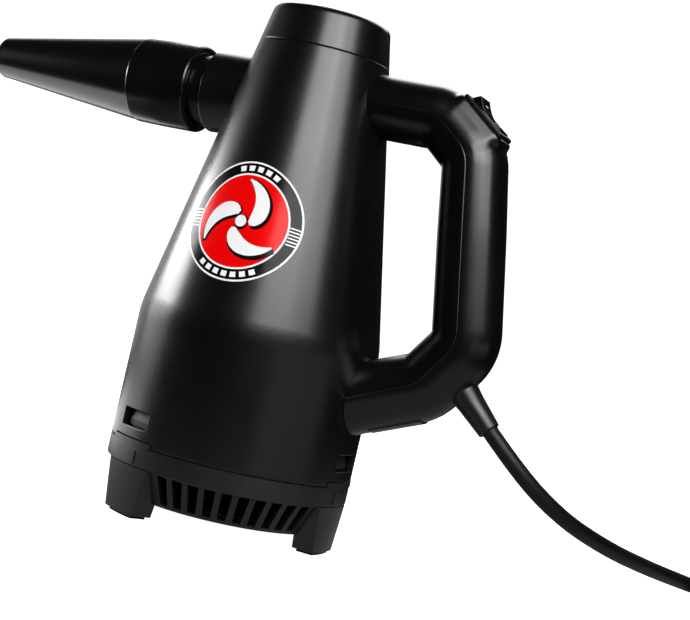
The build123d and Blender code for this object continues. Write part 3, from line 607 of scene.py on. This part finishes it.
CORD_ROUTE = [
    (122.745, 0, 98.047), (151.73, 0, 71.95), (176, 22, 50.5), (197, 60, 36.5), (213, 107, 26.5),
    (225, 157, 18.0), (232, 207, 10.3), (235, 252, 4.4), (235, 290, 4.4), *coil_points(),
    (354, 290, 30.5), (354, 259, 30.3), (354, 228, 20.2), (354, 197, 8.6), (354, 172, 8.6),
]
line = bpy.data.curves.new("cord", "CURVE")
line.dimensions = "3D"
spline = line.splines.new("NURBS")
spline.points.add(len(CORD_ROUTE) - 1)
for point, (x, y, z) in zip(spline.points, CORD_ROUTE):
    point.co = ((x + AXIS_X) * MM, y * MM, z * MM, 1)
spline.order_u = 3
spline.use_endpoint_u = True
spline.resolution_u = 5
line.bevel_depth = CORD_R * MM
line.bevel_resolution = 7
line.use_fill_caps = True
line.materials.append(CORD)
cord = new_object("cord_line", line)
stands_for(cord, "housing", "cord_black", "cord", "cord_coil", "cord_end")


# ---- barrel
def barrel_r(z):
    """Outer radius of the barrel at a height."""
    z = np.asarray(z, float)
    lean = math.atan(CONE_SLOPE)
    reach = SHOULDER_ROUND * math.tan(lean / 2)
    low = SHOULDER_Z - reach
    high = SHOULDER_Z + reach * math.cos(lean)
    arc = BODY_R - SHOULDER_ROUND + np.sqrt(np.maximum(0, SHOULDER_ROUND**2 - (z - low) ** 2))
    cone = BODY_R - CONE_SLOPE * (z - SHOULDER_Z)
    return np.where(z < low, BODY_R, np.where(z < high, arc, cone))


def grid_faces(rows, cols):
    """Four-sided faces of a grid of vertices, row by row."""
    return [
        (i * cols + j, i * cols + j + 1, (i + 1) * cols + j + 1, (i + 1) * cols + j)
        for i in range(rows - 1) for j in range(cols - 1)
    ]


def band_faces(around, rows=2):
    """Four-sided faces between closed rings of vertices."""
    return [
        (i * around + k, i * around + n, (i + 1) * around + n, (i + 1) * around + k)
        for i in range(rows - 1) for k in range(around) for n in ((k + 1) % around,)
    ]


def circles(radii, angles):
    """Across and up coordinates of points on circles, one circle after the other."""
    return (np.concatenate([r * turn(angles) for r in radii]) for turn in (np.cos, np.sin))


def spaced(start, end, step):
    return list(np.linspace(start, end, max(2, int(round((end - start) / step)) + 1)))


def unique(values, tolerance):
    """Values in order, without those closer than the tolerance to the one before."""
    out = []
    for v in sorted(values):
        if not out or v - out[-1] > tolerance:
            out.append(v)
    return out


def make_barrel():
    edge = 0.5
    lift = [edge * (1 - math.cos(a)) for a in np.radians((0, 30, 60, 90))]
    zs = [SEAM_Z + rise for rise in lift]
    zs += [38.6, NOTCH_Z, 41.2, 43.4, WINDOW_Z[0], 46.2, 48.0, 50.0, 52.0, 53.5, WINDOW_Z[1], 55.6]
    zs += spaced(58, 100, 3.5) + spaced(101, 115, 0.9) + spaced(116, 200, 3.5) + spaced(202, CAP_Z - 1.2, 1.3)
    zs += [CAP_Z - rise for rise in lift]
    zs = unique(zs, 0.02)
    special = [a + side * half for a in LATCHES for side in (-1, 1) for half in (WINDOW_HALF, NOTCH_HALF)]
    special = [a % 360 for a in special]
    angles = [a for a in np.arange(0, 360, 1.5) if min(abs(a - s) for s in special) > 0.5] + special
    angles = np.array(sorted(angles))
    outer = np.zeros((len(zs), len(angles), 3))
    inner = np.zeros_like(outer)
    for i, z in enumerate(zs):
        r = float(barrel_r(z))
        for gap in (z - SEAM_Z, CAP_Z - z):
            if gap < edge:
                r -= edge - math.sqrt(max(0.0, edge**2 - (edge - gap) ** 2))
        a = np.radians(angles)
        r_in = float(barrel_r(z)) - WALL
        outer[i] = np.stack([r * np.cos(a), r * np.sin(a), np.full_like(a, z)], 1)
        inner[i] = np.stack([r_in * np.cos(a), r_in * np.sin(a), np.full_like(a, z)], 1)
    keep = np.ones((len(zs) - 1, len(angles)), bool)
    nexts = np.append(angles[1:], angles[0] + 360)
    middle_a = (angles + nexts) / 2
    droop = math.tan(math.radians(OUTLET_DROOP))
    for i in range(len(zs) - 1):
        z = (zs[i] + zs[i + 1]) / 2
        for latch in LATCHES:
            off = np.abs((middle_a - latch + 180) % 360 - 180)
            if WINDOW_Z[0] < z < WINDOW_Z[1]:
                keep[i] &= off > WINDOW_HALF
            if z < NOTCH_Z:
                keep[i] &= off > NOTCH_HALF
        if z > 205:
            r = float(barrel_r(z))
            a = np.radians(middle_a)
            x, y = r * np.cos(a), r * np.sin(a)
            away = np.hypot(y, z - (OUTLET_Z + droop * x))
            keep[i] &= ~((away < OUTLET_HOLE_R) & (x < 0))
    verts, faces, rims = shell(outer, inner, keep, wrap=True)

    def rounded_rim(edge_ends):
        """Edges of the windows and notches are rounded, the others are not."""
        low, high = sorted(verts[i][2] for i in edge_ends)
        in_window = WINDOW_Z[0] - 0.1 < low and high < WINDOW_Z[1] + 0.1
        return in_window or (high < NOTCH_Z + 0.1 and low > SEAM_Z + 0.5)

    rims = {ends for ends in rims if rounded_rim(ends)}
    form = Form().add(verts, faces)
    # bosses for the fan guard and the spider that holds the upper mount
    for angle in (60, 180, 300):
        boss = rounded(((54.8, 59.0), (63.2, 59.0), (63.2, 76.0), (54.8, 76.0, 2.0)))
        add_bar(form, boss, 9.0, turned("Z", angle))
    rib_r = float(barrel_r(191)) - WALL + 0.3
    for angle in (45, 135, 225, 315):
        arm = rounded(((12.0, 185.0, 0.5), (rib_r, 185.0), (rib_r, 194.0), (12.0, 194.0, 0.5)))
        add_bar(form, arm, 2.4, turned("Z", angle))
    form.add(*lathe(rounded(((9.5, 185.0, 0.4), (15, 185.0, 0.4), (15, 194.0, 0.4), (9.5, 194.0, 0.4))), 72))
    return form.build("barrel", [SHELL], weights=rims, bevel=0.45)


def add_bar(form, outline, wide, place):
    """Prism with its outline in the local XZ plane and its width along local Y."""
    count = len(outline)
    verts = [(x, side * wide / 2, z) for side in (-1, 1) for x, z in outline]
    faces = [tuple(range(count)), tuple(range(2 * count - 1, count - 1, -1))]
    faces += [(k, (k + 1) % count, count + (k + 1) % count, count + k) for k in range(count)]
    form.add(verts, faces, place=place)


stands_for(make_barrel(), "housing", "shell_black", "body_shell")


def make_cap():
    r_low, r_top = float(barrel_r(CAP_Z)), float(barrel_r(TOP_Z))
    profile = rounded((
        (0, TOP_Z - 2.6), (r_top - 4.6, TOP_Z - 2.6, 1.0), (r_low - 4.4, CAP_Z),
        (r_low, CAP_Z, 0.5), (r_top, TOP_Z, CAP_RIM), (0, TOP_Z),
    ), closed=False)
    form = Form().add(*lathe(profile, 216, closed=False))
    collar = r_low - WALL
    low, high, thick = CAP_Z - 6, CAP_Z + 4, 1.8
    ring = rounded(((collar, low, 0.3), (collar, high), (collar - thick, high), (collar - thick, low, 0.3)))
    form.add(*lathe(ring, 144))
    return form.build("cap", [SHELL])


stands_for(make_cap(), "housing", "shell_black", "top_cap")

# ---- base
base = true_round(softened("base_cover", "base", [BASE, LATCH], 0.35))
stands_for(base, "base", "base_black", "base_cover")
for number in (1, 2, 3):
    node = f"foot_pad_{number}"
    stands_for(softened(node, f"pad_{number}", [PAD], 0.3), "base", "rubber_black", node)


# ---- outlet and nozzle
def make_outlet():
    profile = rounded((
        (TUBE_BORE_R, 27.0, 0.5), (SPIGOT_R, 27.0), (SPIGOT_R, 30.0), (COLLAR_R, 30.0),
        (COLLAR_R, 58.5, 0.8), (SPIGOT_R, 58.5, 0.4), (SPIGOT_R, 90.0, 0.8),
        (TUBE_BORE_R, 90.0, 0.8),
    ))
    verts, faces = lathe(profile, 160)
    verts = np.array(verts)
    far = np.hypot(verts[:, 0], verts[:, 1])
    # the collar's inner end follows the barrel's surface
    root = (verts[:, 2] < 31.0) & (verts[:, 2] > 29.0) & (far > 19.0)
    verts = put(verts, OUTLET)
    x = -np.sqrt(barrel_r(verts[:, 2]) ** 2 - np.minimum(verts[:, 1] ** 2, 900)) + 0.6
    verts[root, 0] = x[root]
    return Form().add(verts, faces).build("outlet", [SHELL])


def make_nozzle():
    profile = rounded((
        (19.5, 67.2, 1.2), (24.1, 67.2, 1.8), (23.9, 87.2, 30.0), (23.35, 103.2, 0.2),
        (23.05, 103.7, 0.3), (11.3, 198.2, 3.1), (8.0, 198.2, 0.9), (8.0, 190.2, 2.0),
        (16.9, 91.0), (19.5, 91.0),
    ))
    return Form().add(*lathe(profile, 180), place=OUTLET).build("nozzle_sleeve", [RUBBER])


stands_for(make_outlet(), "housing", "shell_black", "outlet_tube")
stands_for(make_nozzle(), "nozzle", "nozzle_rubber", "nozzle")


# ---- handle
def handle_line():
    """Points along the handle's centre line as (x, z), tangent, distance, and which are on the end runs."""
    corners = [np.array(p) for p in HANDLE_LINE]
    parts, last = [], corners[0]
    for i in range(1, len(corners) - 1):
        p, radius = corners[i], HANDLE_BENDS[i - 1]
        u, v = unit(corners[i - 1] - p), unit(corners[i + 1] - p)
        inside = math.acos(float(u @ v))
        cut = radius / math.tan(inside / 2)
        middle = p + unit(u + v) * radius / math.sin(inside / 2)
        parts.append(("line", last, p + u * cut))
        parts.append(("arc", middle, p + u * cut, p + v * cut, math.pi - inside, radius))
        last = p + v * cut
    parts.append(("line", last, corners[-1]))
    points, ways, runs = [], [], []
    for n, part in enumerate(parts):
        if part[0] == "line":
            a, b = part[1], part[2]
            long = np.linalg.norm(b - a)
            way = (b - a) / long
            shares = np.linspace(0, 1, int(long / 0.9) + 1)
            if n:
                shares = shares[1:]
            for s in shares:
                points.append(a + (b - a) * s)
                ways.append(way)
                runs.append(n)
        else:
            _, middle, a, b, turn, radius = part
            steps = max(8, int(turn * radius / 0.55))
            start = a - middle
            for k in range(1, steps + 1):
                arm = rotated(start, -turn * k / steps)
                points.append(middle + arm)
                ways.append(np.array((arm[1], -arm[0])) / radius)
                runs.append(n)
    points, ways = np.array(points), np.array(ways)
    gone = np.concatenate([[0], np.cumsum(np.linalg.norm(np.diff(points, axis=0), axis=1))])
    return points, ways, gone, np.array(runs), len(parts) - 1


def tube_radius(share):
    xs, ys = zip(*HANDLE_RADII)
    fine = np.linspace(-0.1, 1.1, 1201)
    raw = np.interp(fine, xs, ys)
    kernel = np.hanning(61)
    smooth = np.convolve(np.pad(raw, 30, mode="edge"), kernel / kernel.sum(), "valid")
    return np.interp(share, fine, smooth)


def soft_min(a, b, k):
    h = np.clip(0.5 + 0.5 * (b - a) / k, 0, 1)
    return b * (1 - h) + a * h - k * h * (1 - h)


def soft_max(a, b, k):
    return -soft_min(-a, -b, k)


PLATFORM_BACK = np.linalg.inv(PLATFORM)


def platform_gap(points):
    """Gap to the switch platform (below zero inside), which widens downward, and the height above it."""
    local = put(points, PLATFORM_BACK)
    depth = -local[..., 2]
    draft = math.tan(math.radians(PLATFORM_DRAFT))
    wider = soft_min(np.maximum(depth, -2) * draft, np.full_like(depth, 5.2), 3.0)
    corner = np.minimum(PLATFORM_CORNER + 0.6 * np.maximum(depth - 2.0, 0), 12.0)  # rounder on its way down
    qx = np.abs(local[..., 0]) - (PLATFORM_HALF_LONG + wider) + corner
    qy = np.abs(local[..., 1]) - (PLATFORM_HALF_WIDE + wider) + corner
    side = np.hypot(np.maximum(qx, 0), np.maximum(qy, 0)) + np.minimum(np.maximum(qx, qy), 0) - corner
    return soft_max(side, depth - PLATFORM_DEPTH, 2.5), local[..., 2]


def handle_surface(centre, out_dirs, radius):
    """Where rays from the centre line leave the tube joined with the switch platform."""
    low = np.zeros(radius.shape)
    high = np.full(radius.shape, 40.0)
    for _ in range(26):
        middle = (low + high) / 2
        p = centre + out_dirs * middle[..., None]
        gap, height = platform_gap(p)
        form = soft_min(middle - radius, gap, 1.5)
        form = soft_max(form, height, 1.1)
        inside = form < 0
        low = np.where(inside, middle, low)
        high = np.where(inside, high, middle)
    return (low + high) / 2


def in_plane(x, z):
    """Points in the plane that the handle's line is in."""
    return np.stack([x, np.zeros(len(x)), z], 1)


def make_handle_half(outer_side):
    points, ways, gone, runs, last_run = handle_line()
    rows = len(points)
    chamfer = math.degrees(0.3 / 17)
    smooth = np.linspace(-90 + 3 * chamfer, 90 - 3 * chamfer, 92)
    across = np.concatenate([[-90, -90 + chamfer], smooth, [90 - chamfer, 90]])
    if not outer_side:
        across = across + 180
    a = np.radians(across)
    cols = len(a)
    radius = np.repeat(tube_radius(gone / gone[-1])[:, None], cols, 1)
    normal = in_plane(-ways[:, 1], ways[:, 0])
    way3 = in_plane(*ways.T)
    dirs = np.cos(a)[None, :, None] * normal[:, None, :] + np.sin(a)[None, :, None] * np.array((0, 1.0, 0))
    centre = np.repeat(in_plane(*points.T)[:, None, :], cols, 1)
    grids = []
    for inset in (0.0, HANDLE_WALL):
        reach = radius - inset
        if inset == 0.0:
            platform_middle = np.array((PLATFORM_AT[0], 0, PLATFORM_AT[1]))
            near = np.linalg.norm(centre[:, 0] - platform_middle, axis=1) < 46
            solved = handle_surface(centre[near], dirs[near], radius[near])
            reach[near] = solved
            reach[:, (0, -1)] -= 0.22
        grid = centre + dirs * reach[..., None]
        # both ends follow the barrel's outer surface
        first = np.where(runs == 0)[0]
        joint = grid[first[-1]]
        start = np.sqrt(np.maximum(0, barrel_r(joint[:, 2]) ** 2 - joint[:, 1] ** 2)) + 0.06
        for k, i in enumerate(first):
            share = k / (len(first) - 1)
            grid[i, :, 0] = start + (joint[:, 0] - start) * share
        end = np.where(runs == last_run)[0]
        base, way = grid[end[0]], way3[end[0]]
        lo, hi = np.zeros(cols), np.full(cols, 70.0)
        for _ in range(30):
            mid = (lo + hi) / 2
            p = base + way * mid[:, None]
            clear = np.hypot(p[:, 0], p[:, 1]) > barrel_r(p[:, 2]) + 0.06
            lo, hi = np.where(clear, mid, lo), np.where(clear, hi, mid)
        for k, i in enumerate(end):
            share = k / (len(end) - 1)
            flare = dirs[i] * (reach[i] - reach[end[0]])[:, None]
            grid[i] = base + way * (lo * share)[:, None] + flare
        grids.append(grid)
    outer, inner = grids
    # a small chamfer at both ends
    for i, beside in ((0, 1), (rows - 1, rows - 2)):
        outer[i] -= dirs[i] * 0.3
        outer[beside] = outer[i] + dirs[i] * 0.3 + (outer[beside] - outer[i] - dirs[i] * 0.3) * 0.35
    keep = np.ones((rows - 1, cols - 1), bool)
    middles = (outer[:-1, :-1] + outer[1:, :-1] + outer[:-1, 1:] + outer[1:, 1:]) / 4
    if outer_side:
        local = put(middles, PLATFORM_BACK)
        half_long, half_wide = SWITCH_HOLE_HALF
        in_hole = (np.abs(local[..., 0]) < half_long) & (np.abs(local[..., 1]) < half_wide)
        keep &= ~(in_hole & (local[..., 2] > -1.5))
    else:
        for corner, along in SCREW_SPOTS:
            spot = handle_spot(corner, along)
            back = np.linalg.inv(spot)
            local = put(middles, back)
            cut = (np.hypot(local[..., 0], local[..., 1]) < SCREW_BORE_R) & (local[..., 2] < 0)
            keep &= ~cut
            # the cut cells' corners move onto the bore's circle
            near = np.zeros((rows, cols), bool)
            for di in (0, 1):
                for dj in (0, 1):
                    near[di:rows - 1 + di, dj:cols - 1 + dj] |= cut
            for grid in (outer, inner):
                p = put(grid, back)
                r = np.hypot(p[..., 0], p[..., 1])
                depth = np.hypot(p[..., 1], p[..., 2])
                factor = np.where(near & (r > 1.2), SCREW_BORE_R / np.maximum(r, 0.1), 1.0)
                p[..., 0] *= factor
                p[..., 1] *= factor
                p[..., 2] = np.where(near, -np.sqrt(np.maximum(1.0, depth**2 - p[..., 1] ** 2)), p[..., 2])
                grid[...] = np.where(near[..., None], put(p, spot), grid)
    form = Form().add(*shell(outer, inner, keep)[:2])
    if not outer_side:
        for corner, along in SCREW_SPOTS:
            depth = -13.9 if corner == 0 else -15.0
            head, hole, out = SCREW_BORE_R, 1.6, 4.4
            post = ((head, depth), (head, -6.0), (hole, -6.0), (hole, -0.4), (out, -0.4), (out, depth))
            form.add(*lathe(rounded(post), 48), place=handle_spot(corner, along))
    name = "handle_outer" if outer_side else "handle_inner"
    return form.build(name, [HANDLE], sharp=32)


stands_for(make_handle_half(True), "housing", "handle_black", "handle_back")
stands_for(make_handle_half(False), "housing", "handle_black", "handle_front")


def make_plate():
    """Curved cover strip on the lower arm's underside."""
    spot = handle_spot(4, 18)
    half_long, half_wide, proud_r = 14.6, 7.1, 19.22
    xs = np.array([-half_long, -14.3] + spaced(-13.6, 13.6, 1.6) + [14.3, half_long])
    ys = np.array([-half_wide, -6.85] + spaced(-6.2, 6.2, 0.8) + [6.85, half_wide])
    gx, gy = np.meshgrid(xs, ys, indexing="ij")
    edge = np.minimum(half_long - np.abs(gx), half_wide - np.abs(gy))
    top = proud_r - np.where(edge < 0.2, 0.3, 0.0)
    z = np.sqrt(top**2 - gy**2)
    outer = put(np.stack([gx, gy, z], -1), spot)
    inner = put(np.stack([gx, gy, z - 1.6], -1), spot)
    verts, faces, _ = shell(outer, inner, np.ones((len(xs) - 1, len(ys) - 1), bool))
    return Form().add(verts, faces).build("cover_strip", [HANDLE], sharp=40)


stands_for(make_plate(), "housing", "handle_black", "handle_plate")


# ---- switch
bezel = softened("switch_bezel", "bezel", [FRAME_BLACK], 0.25)
stands_for(bezel, "housing", "switch_gloss", "switch_bezel")


def rocker_top(x):
    """Height of the rocker's dished face above the platform."""
    x = np.asarray(x, float)
    raised_end = 4.25 * np.clip((1.0 - x) / 10.1, 0, 1) ** 1.7
    pressed_end = 0.25 * np.clip((x - 4) / 7.4, 0, 1) ** 2
    return 2.35 + raised_end + pressed_end


def make_rocker():
    """Rocker with ends that are round about its pin."""

    def end_arc(first, last, count):
        return [
            (ROCKER_END_R * math.cos(a), -PIVOT_DEEP + ROCKER_END_R * math.sin(a))
            for a in np.linspace(first, last, count)
        ]

    outline = [(-11.3, -2.9), (-6, -3.7), (0, -4.4), (6, -3.1), (11.6, -1.9)]
    low, high = (math.asin((z + PIVOT_DEEP) / ROCKER_END_R) for z in (-1.6, 2.3))
    outline += end_arc(low, high, 5)
    outline += [(x, float(rocker_top(x))) for x in np.linspace(11.1, -8.6, 34)]
    outline += end_arc(math.radians(139), math.radians(187), 10)
    form = Form()
    add_bar(form, outline, 16.2, PLATFORM)
    return form.build("rocker", [SWITCH], sharp=30, bevel=0.4)


stands_for(make_rocker(), "rocker", "switch_gloss", "switch_rocker")


def make_rocker_marks():
    """On and off marks, laid into the dished face."""
    form = Form()

    def patch(points_u, points_v, faces):
        pts = np.stack([points_u, points_v, rocker_top(points_u) + 0.05], -1)
        form.add(pts, faces, 0, PLATFORM)

    us, vs = np.linspace(-5.6, -4.8, 3), np.linspace(-1.9, 1.9, 5)
    gu, gv = np.meshgrid(us, vs, indexing="ij")
    patch(gu.ravel(), gv.ravel(), grid_faces(len(us), len(vs)))
    ring = np.radians(np.arange(0, 360, 10))
    u, v = circles((1.35, 1.95), ring)
    patch(6 + u, v, band_faces(len(ring)))
    return form.build("rocker_marks", [MARK])


stands_for(make_rocker_marks(), "rocker", "switch_gloss")


# ---- strain relief
def make_relief():
    profile = rounded((
        (4.4, -8.0), (8.2, -8.0), (8.2, -5.5), (6.3, -5.5), (6.3, -1.0), (8.9, -0.4),
        (8.9, 2.6, 1.1), (8.1, 3.3, 0.5), (7.2, 9.5, 22.0), (5.9, 27.0, 0.8), (4.36, 27.0, 0.2),
    ))
    return Form().add(*lathe(profile, 96), place=RELIEF).build("cord_boot", [VINYL])


stands_for(make_relief(), "housing", "rubber_black", "strain_relief")


# ---- badge
BADGE_Z = 161.9
LEAN = math.atan(CONE_SLOPE)
BADGE_CENTRE = np.array((0, -float(barrel_r(BADGE_Z)), BADGE_Z))
BADGE_UP = np.array((0, math.sin(LEAN), math.cos(LEAN)))
BADGE_OUT = np.array((0, -math.cos(LEAN), math.sin(LEAN)))
BADGE_TALL, BADGE_DROP = 1.033, 0.9  # a little taller than wide, and its middle that much lower


def on_cone(u, v, lift):
    """Points of the badge's flat drawing laid on the barrel."""
    u, v = np.asarray(u, float), np.asarray(v, float) * BADGE_TALL - BADGE_DROP
    base = BADGE_CENTRE + u[..., None] * np.array((1.0, 0, 0)) + v[..., None] * BADGE_UP
    low, high = np.full(u.shape, -14.0), np.full(u.shape, 2.0)
    for _ in range(34):
        w = (low + high) / 2
        p = base + w[..., None] * BADGE_OUT
        inside = np.hypot(p[..., 0], p[..., 1]) < barrel_r(p[..., 2])
        low, high = np.where(inside, w, low), np.where(inside, high, w)
    p = base + high[..., None] * BADGE_OUT
    flat = np.hypot(p[..., 0], p[..., 1])
    slope = math.cos(LEAN) / flat
    out = np.stack([p[..., 0] * slope, p[..., 1] * slope, np.full(flat.shape, math.sin(LEAN))], -1)
    return p + out * lift


def make_badge():
    """Round label: a dark ring between two pale lines, and a swirl of three blades on a red disc."""
    form = Form()
    white, black, red = 0, 1, 2
    base, print_, shade, top = 0.28, 0.30, 0.295, 0.31  # heights above the barrel
    turn_round = np.radians(np.arange(0, 360, 2.0))
    closed_round = np.append(turn_round, 0)
    count = len(turn_round)

    def strip(us, vs, slot, lift):
        """Grid of drawing points, rows by columns."""
        form.add(on_cone(us, vs, lift), grid_faces(*us.shape), slot)

    def blade(turn, grow, shift, slot, lift):
        t = np.linspace(0, 1, 30)
        r = 4.6 + (17.0 + grow * 0.6) * t
        bend = np.radians(turn + 98 * t**0.9 - 24)
        wide = 7.6 * np.sin(math.pi * np.clip(t, 0.02, 0.985) ** 0.72) ** 0.75 + 0.3 + grow * 1.5
        cu, cv = r * np.cos(bend), r * np.sin(bend)
        du, dv = np.gradient(cu), np.gradient(cv)
        long = np.hypot(du, dv)
        nu, nv = -dv / long, du / long
        side = np.linspace(-0.5, 0.5, 9)
        us = cu[:, None] + nu[:, None] * wide[:, None] * side + shift[0]
        vs = cv[:, None] + nv[:, None] * wide[:, None] * side + shift[1]
        strip(us, vs, slot, lift)

    for r_in, r_out, slot, parts in (
        (0.02, 23.9, red, 14), (23.9, 24.8, white, 1), (24.8, 30.1, black, 5), (30.1, 31.0, white, 1)
    ):
        u, v = circles(np.linspace(r_in, r_out, parts + 1), turn_round)
        form.add(on_cone(u, v, base), band_faces(count, parts + 1), slot)
    # the disc's edge goes down to the barrel
    u, v = circles((31.0, 31.08), turn_round)
    edge = np.concatenate([on_cone(u[:count], v[:count], base), on_cone(u[count:], v[count:], 0.0)])
    form.add(edge, band_faces(count), white)
    # rows of short bars at both sides of the dark ring, and dashes at its top and bottom
    for sign in (-1, 1):
        for step in range(-3, 3):
            vs = (step + 0.5) * 1.7 + np.array((-0.33, 0.33)) - 1.2
            us = sign * np.linspace(24.9, 30.0, 7)
            strip(*np.meshgrid(us, vs, indexing="ij"), white, print_)
    for first, dashes in ((62, 5), (236, 7)):
        for k in range(dashes):
            span = np.radians(np.linspace(first + k * 10.2, first + k * 10.2 + 6.4, 6))
            gr, ga = np.meshgrid(np.array((26.1, 28.8)), span, indexing="ij")
            strip(gr * np.cos(ga), gr * np.sin(ga), white, print_)
    # the swirl and its hub, each over its own dark shadow
    for grow, shift, slot, lift in ((1.0, (0.9, -0.9), black, shade), (0.0, (0.0, 0.0), white, top)):
        for turn in (20, 140, 260):
            blade(turn, grow, shift, slot, lift)
    for radius, slot, shift, lift in ((3.9, black, (0.5, -0.5), 0.30), (3.0, white, (0.0, 0.0), 0.315)):
        radii = np.array((0.05, radius))
        us = radii[:, None] * np.cos(closed_round) + shift[0]
        vs = radii[:, None] * np.sin(closed_round) + shift[1]
        strip(us, vs, slot, lift)
    return form.build("badge_disc", [WHITE, BLACK, RED], sharp=60)


stands_for(make_badge(), "housing", "label_red", "badge")


# ---- studio
def make_stage():
    """Flat floor that rises all round into a wall, in metres."""
    flat, bend = 2.6, 1.4
    profile = [(0.0, 0.0), (0.6, 0.0), (1.6, 0.0), (flat, 0.0)]
    for a in np.radians(np.arange(7.5, 91, 7.5)):
        profile.append((flat + bend * math.sin(a), bend - bend * math.cos(a)))
    profile.append((flat + bend, 4.5))
    verts, faces = lathe(profile, 96, closed=False)
    mesh = bpy.data.meshes.new("stage")
    mesh.from_pydata([tuple(v) for v in verts], [], faces)
    mesh.shade_smooth()
    look = Look("stage_white", grey(0.62), 0.9)
    distance = look.nt.nodes.new("ShaderNodeVectorMath")
    distance.operation = "LENGTH"
    look.link(look.where, distance.inputs[0])
    # brightness 1.02 as far as 0.35 m from the middle, rising to 1.15 at 1.3 m
    glow = look.ranged(distance.outputs["Value"], 1.02, 1.15, 0.35, 1.3)
    look.link(glow, look.shader.inputs["Emission Strength"])
    look.shader.inputs["Emission Color"].default_value = (1, 1, 1, 1)
    look.shader.inputs["Specular IOR Level"].default_value = 0.0
    mesh.materials.append(look.m)
    stage = new_object("stage", mesh)
    stage.visible_glossy = False
    stage.visible_diffuse = False


make_stage()
LIT = Vector((AXIS_X * MM, 0.0, 0.165))
UPRIGHT, LENGTHWISE = Vector((0, 0, 1)), Vector((0, 1, 0))


def softbox(name, place, aim, upward, wide, high, radiance):
    """Rectangular light at a place, high along the upward direction and wide across it."""
    data = bpy.data.lights.new(name, "AREA")
    data.shape = "RECTANGLE"
    data.size, data.size_y = wide, high
    data.energy = radiance * math.pi * wide * high
    light = new_object(name, data)
    z = (place - aim).normalized()
    x = upward.cross(z).normalized()
    light.matrix_world = framed(x, z.cross(x), z, place)
    light.visible_camera = False


def around_barrel(direction, rise, distance):
    """Place in a compass direction from the barrel (degrees from +X), rise degrees above its middle."""
    direction, rise = math.radians(direction), math.radians(rise)
    level = Vector((math.cos(direction), math.sin(direction), 0)) * math.cos(rise)
    return LIT + (level + UPRIGHT * math.sin(rise)) * distance


# name, compass direction, rise, distance, width, height, radiance
AROUND = (
    ("key", -60, 31, 1.4, 0.78, 0.70, 9.4),
    ("key_far", -31.5, 31, 1.4, 0.62, 0.70, 7.0),
    ("side", -177, 10.4, 0.79, 0.50, 0.13, 18.5),
    ("side_low", -177, 2.6, 1.10, 0.70, 0.36, 3.4),
    ("rear", 137, 14, 1.6, 1.25, 1.2, 0.65),
    ("back", 100, 42, 1.5, 1.3, 0.8, 4.0),
)
for light_name, compass, light_rise, far, wide, high, radiance in AROUND:
    softbox(light_name, around_barrel(compass, light_rise, far), LIT, UPRIGHT, wide, high, radiance)
softbox("low", Vector((0.88, -0.31, 0.03)), Vector((0.03, 0.0, 0.03)), UPRIGHT, 1.0, 0.16, 0.55)
# lights that lie on the floor and shine up, past the nozzle's tip and under the object
for light_name, x, y, wide, high, radiance in (
    ("table", -0.43, 0.10, 0.40, 0.46, 2.4), ("table_far", 0.10, -0.06, 0.5, 0.5, 0.30)
):
    softbox(light_name, Vector((x, y, 0.0004)), Vector((x, y, 1.0)), LENGTHWISE, wide, high, radiance)

world = bpy.data.worlds.new("world")
world.use_nodes = True
background = world.node_tree.nodes["Background"].inputs
background["Color"].default_value = (1, 1, 1, 1)
background["Strength"].default_value = 0.012
scene.world = world
scene.view_settings.view_transform = "Standard"
scene.view_settings.look = "None"
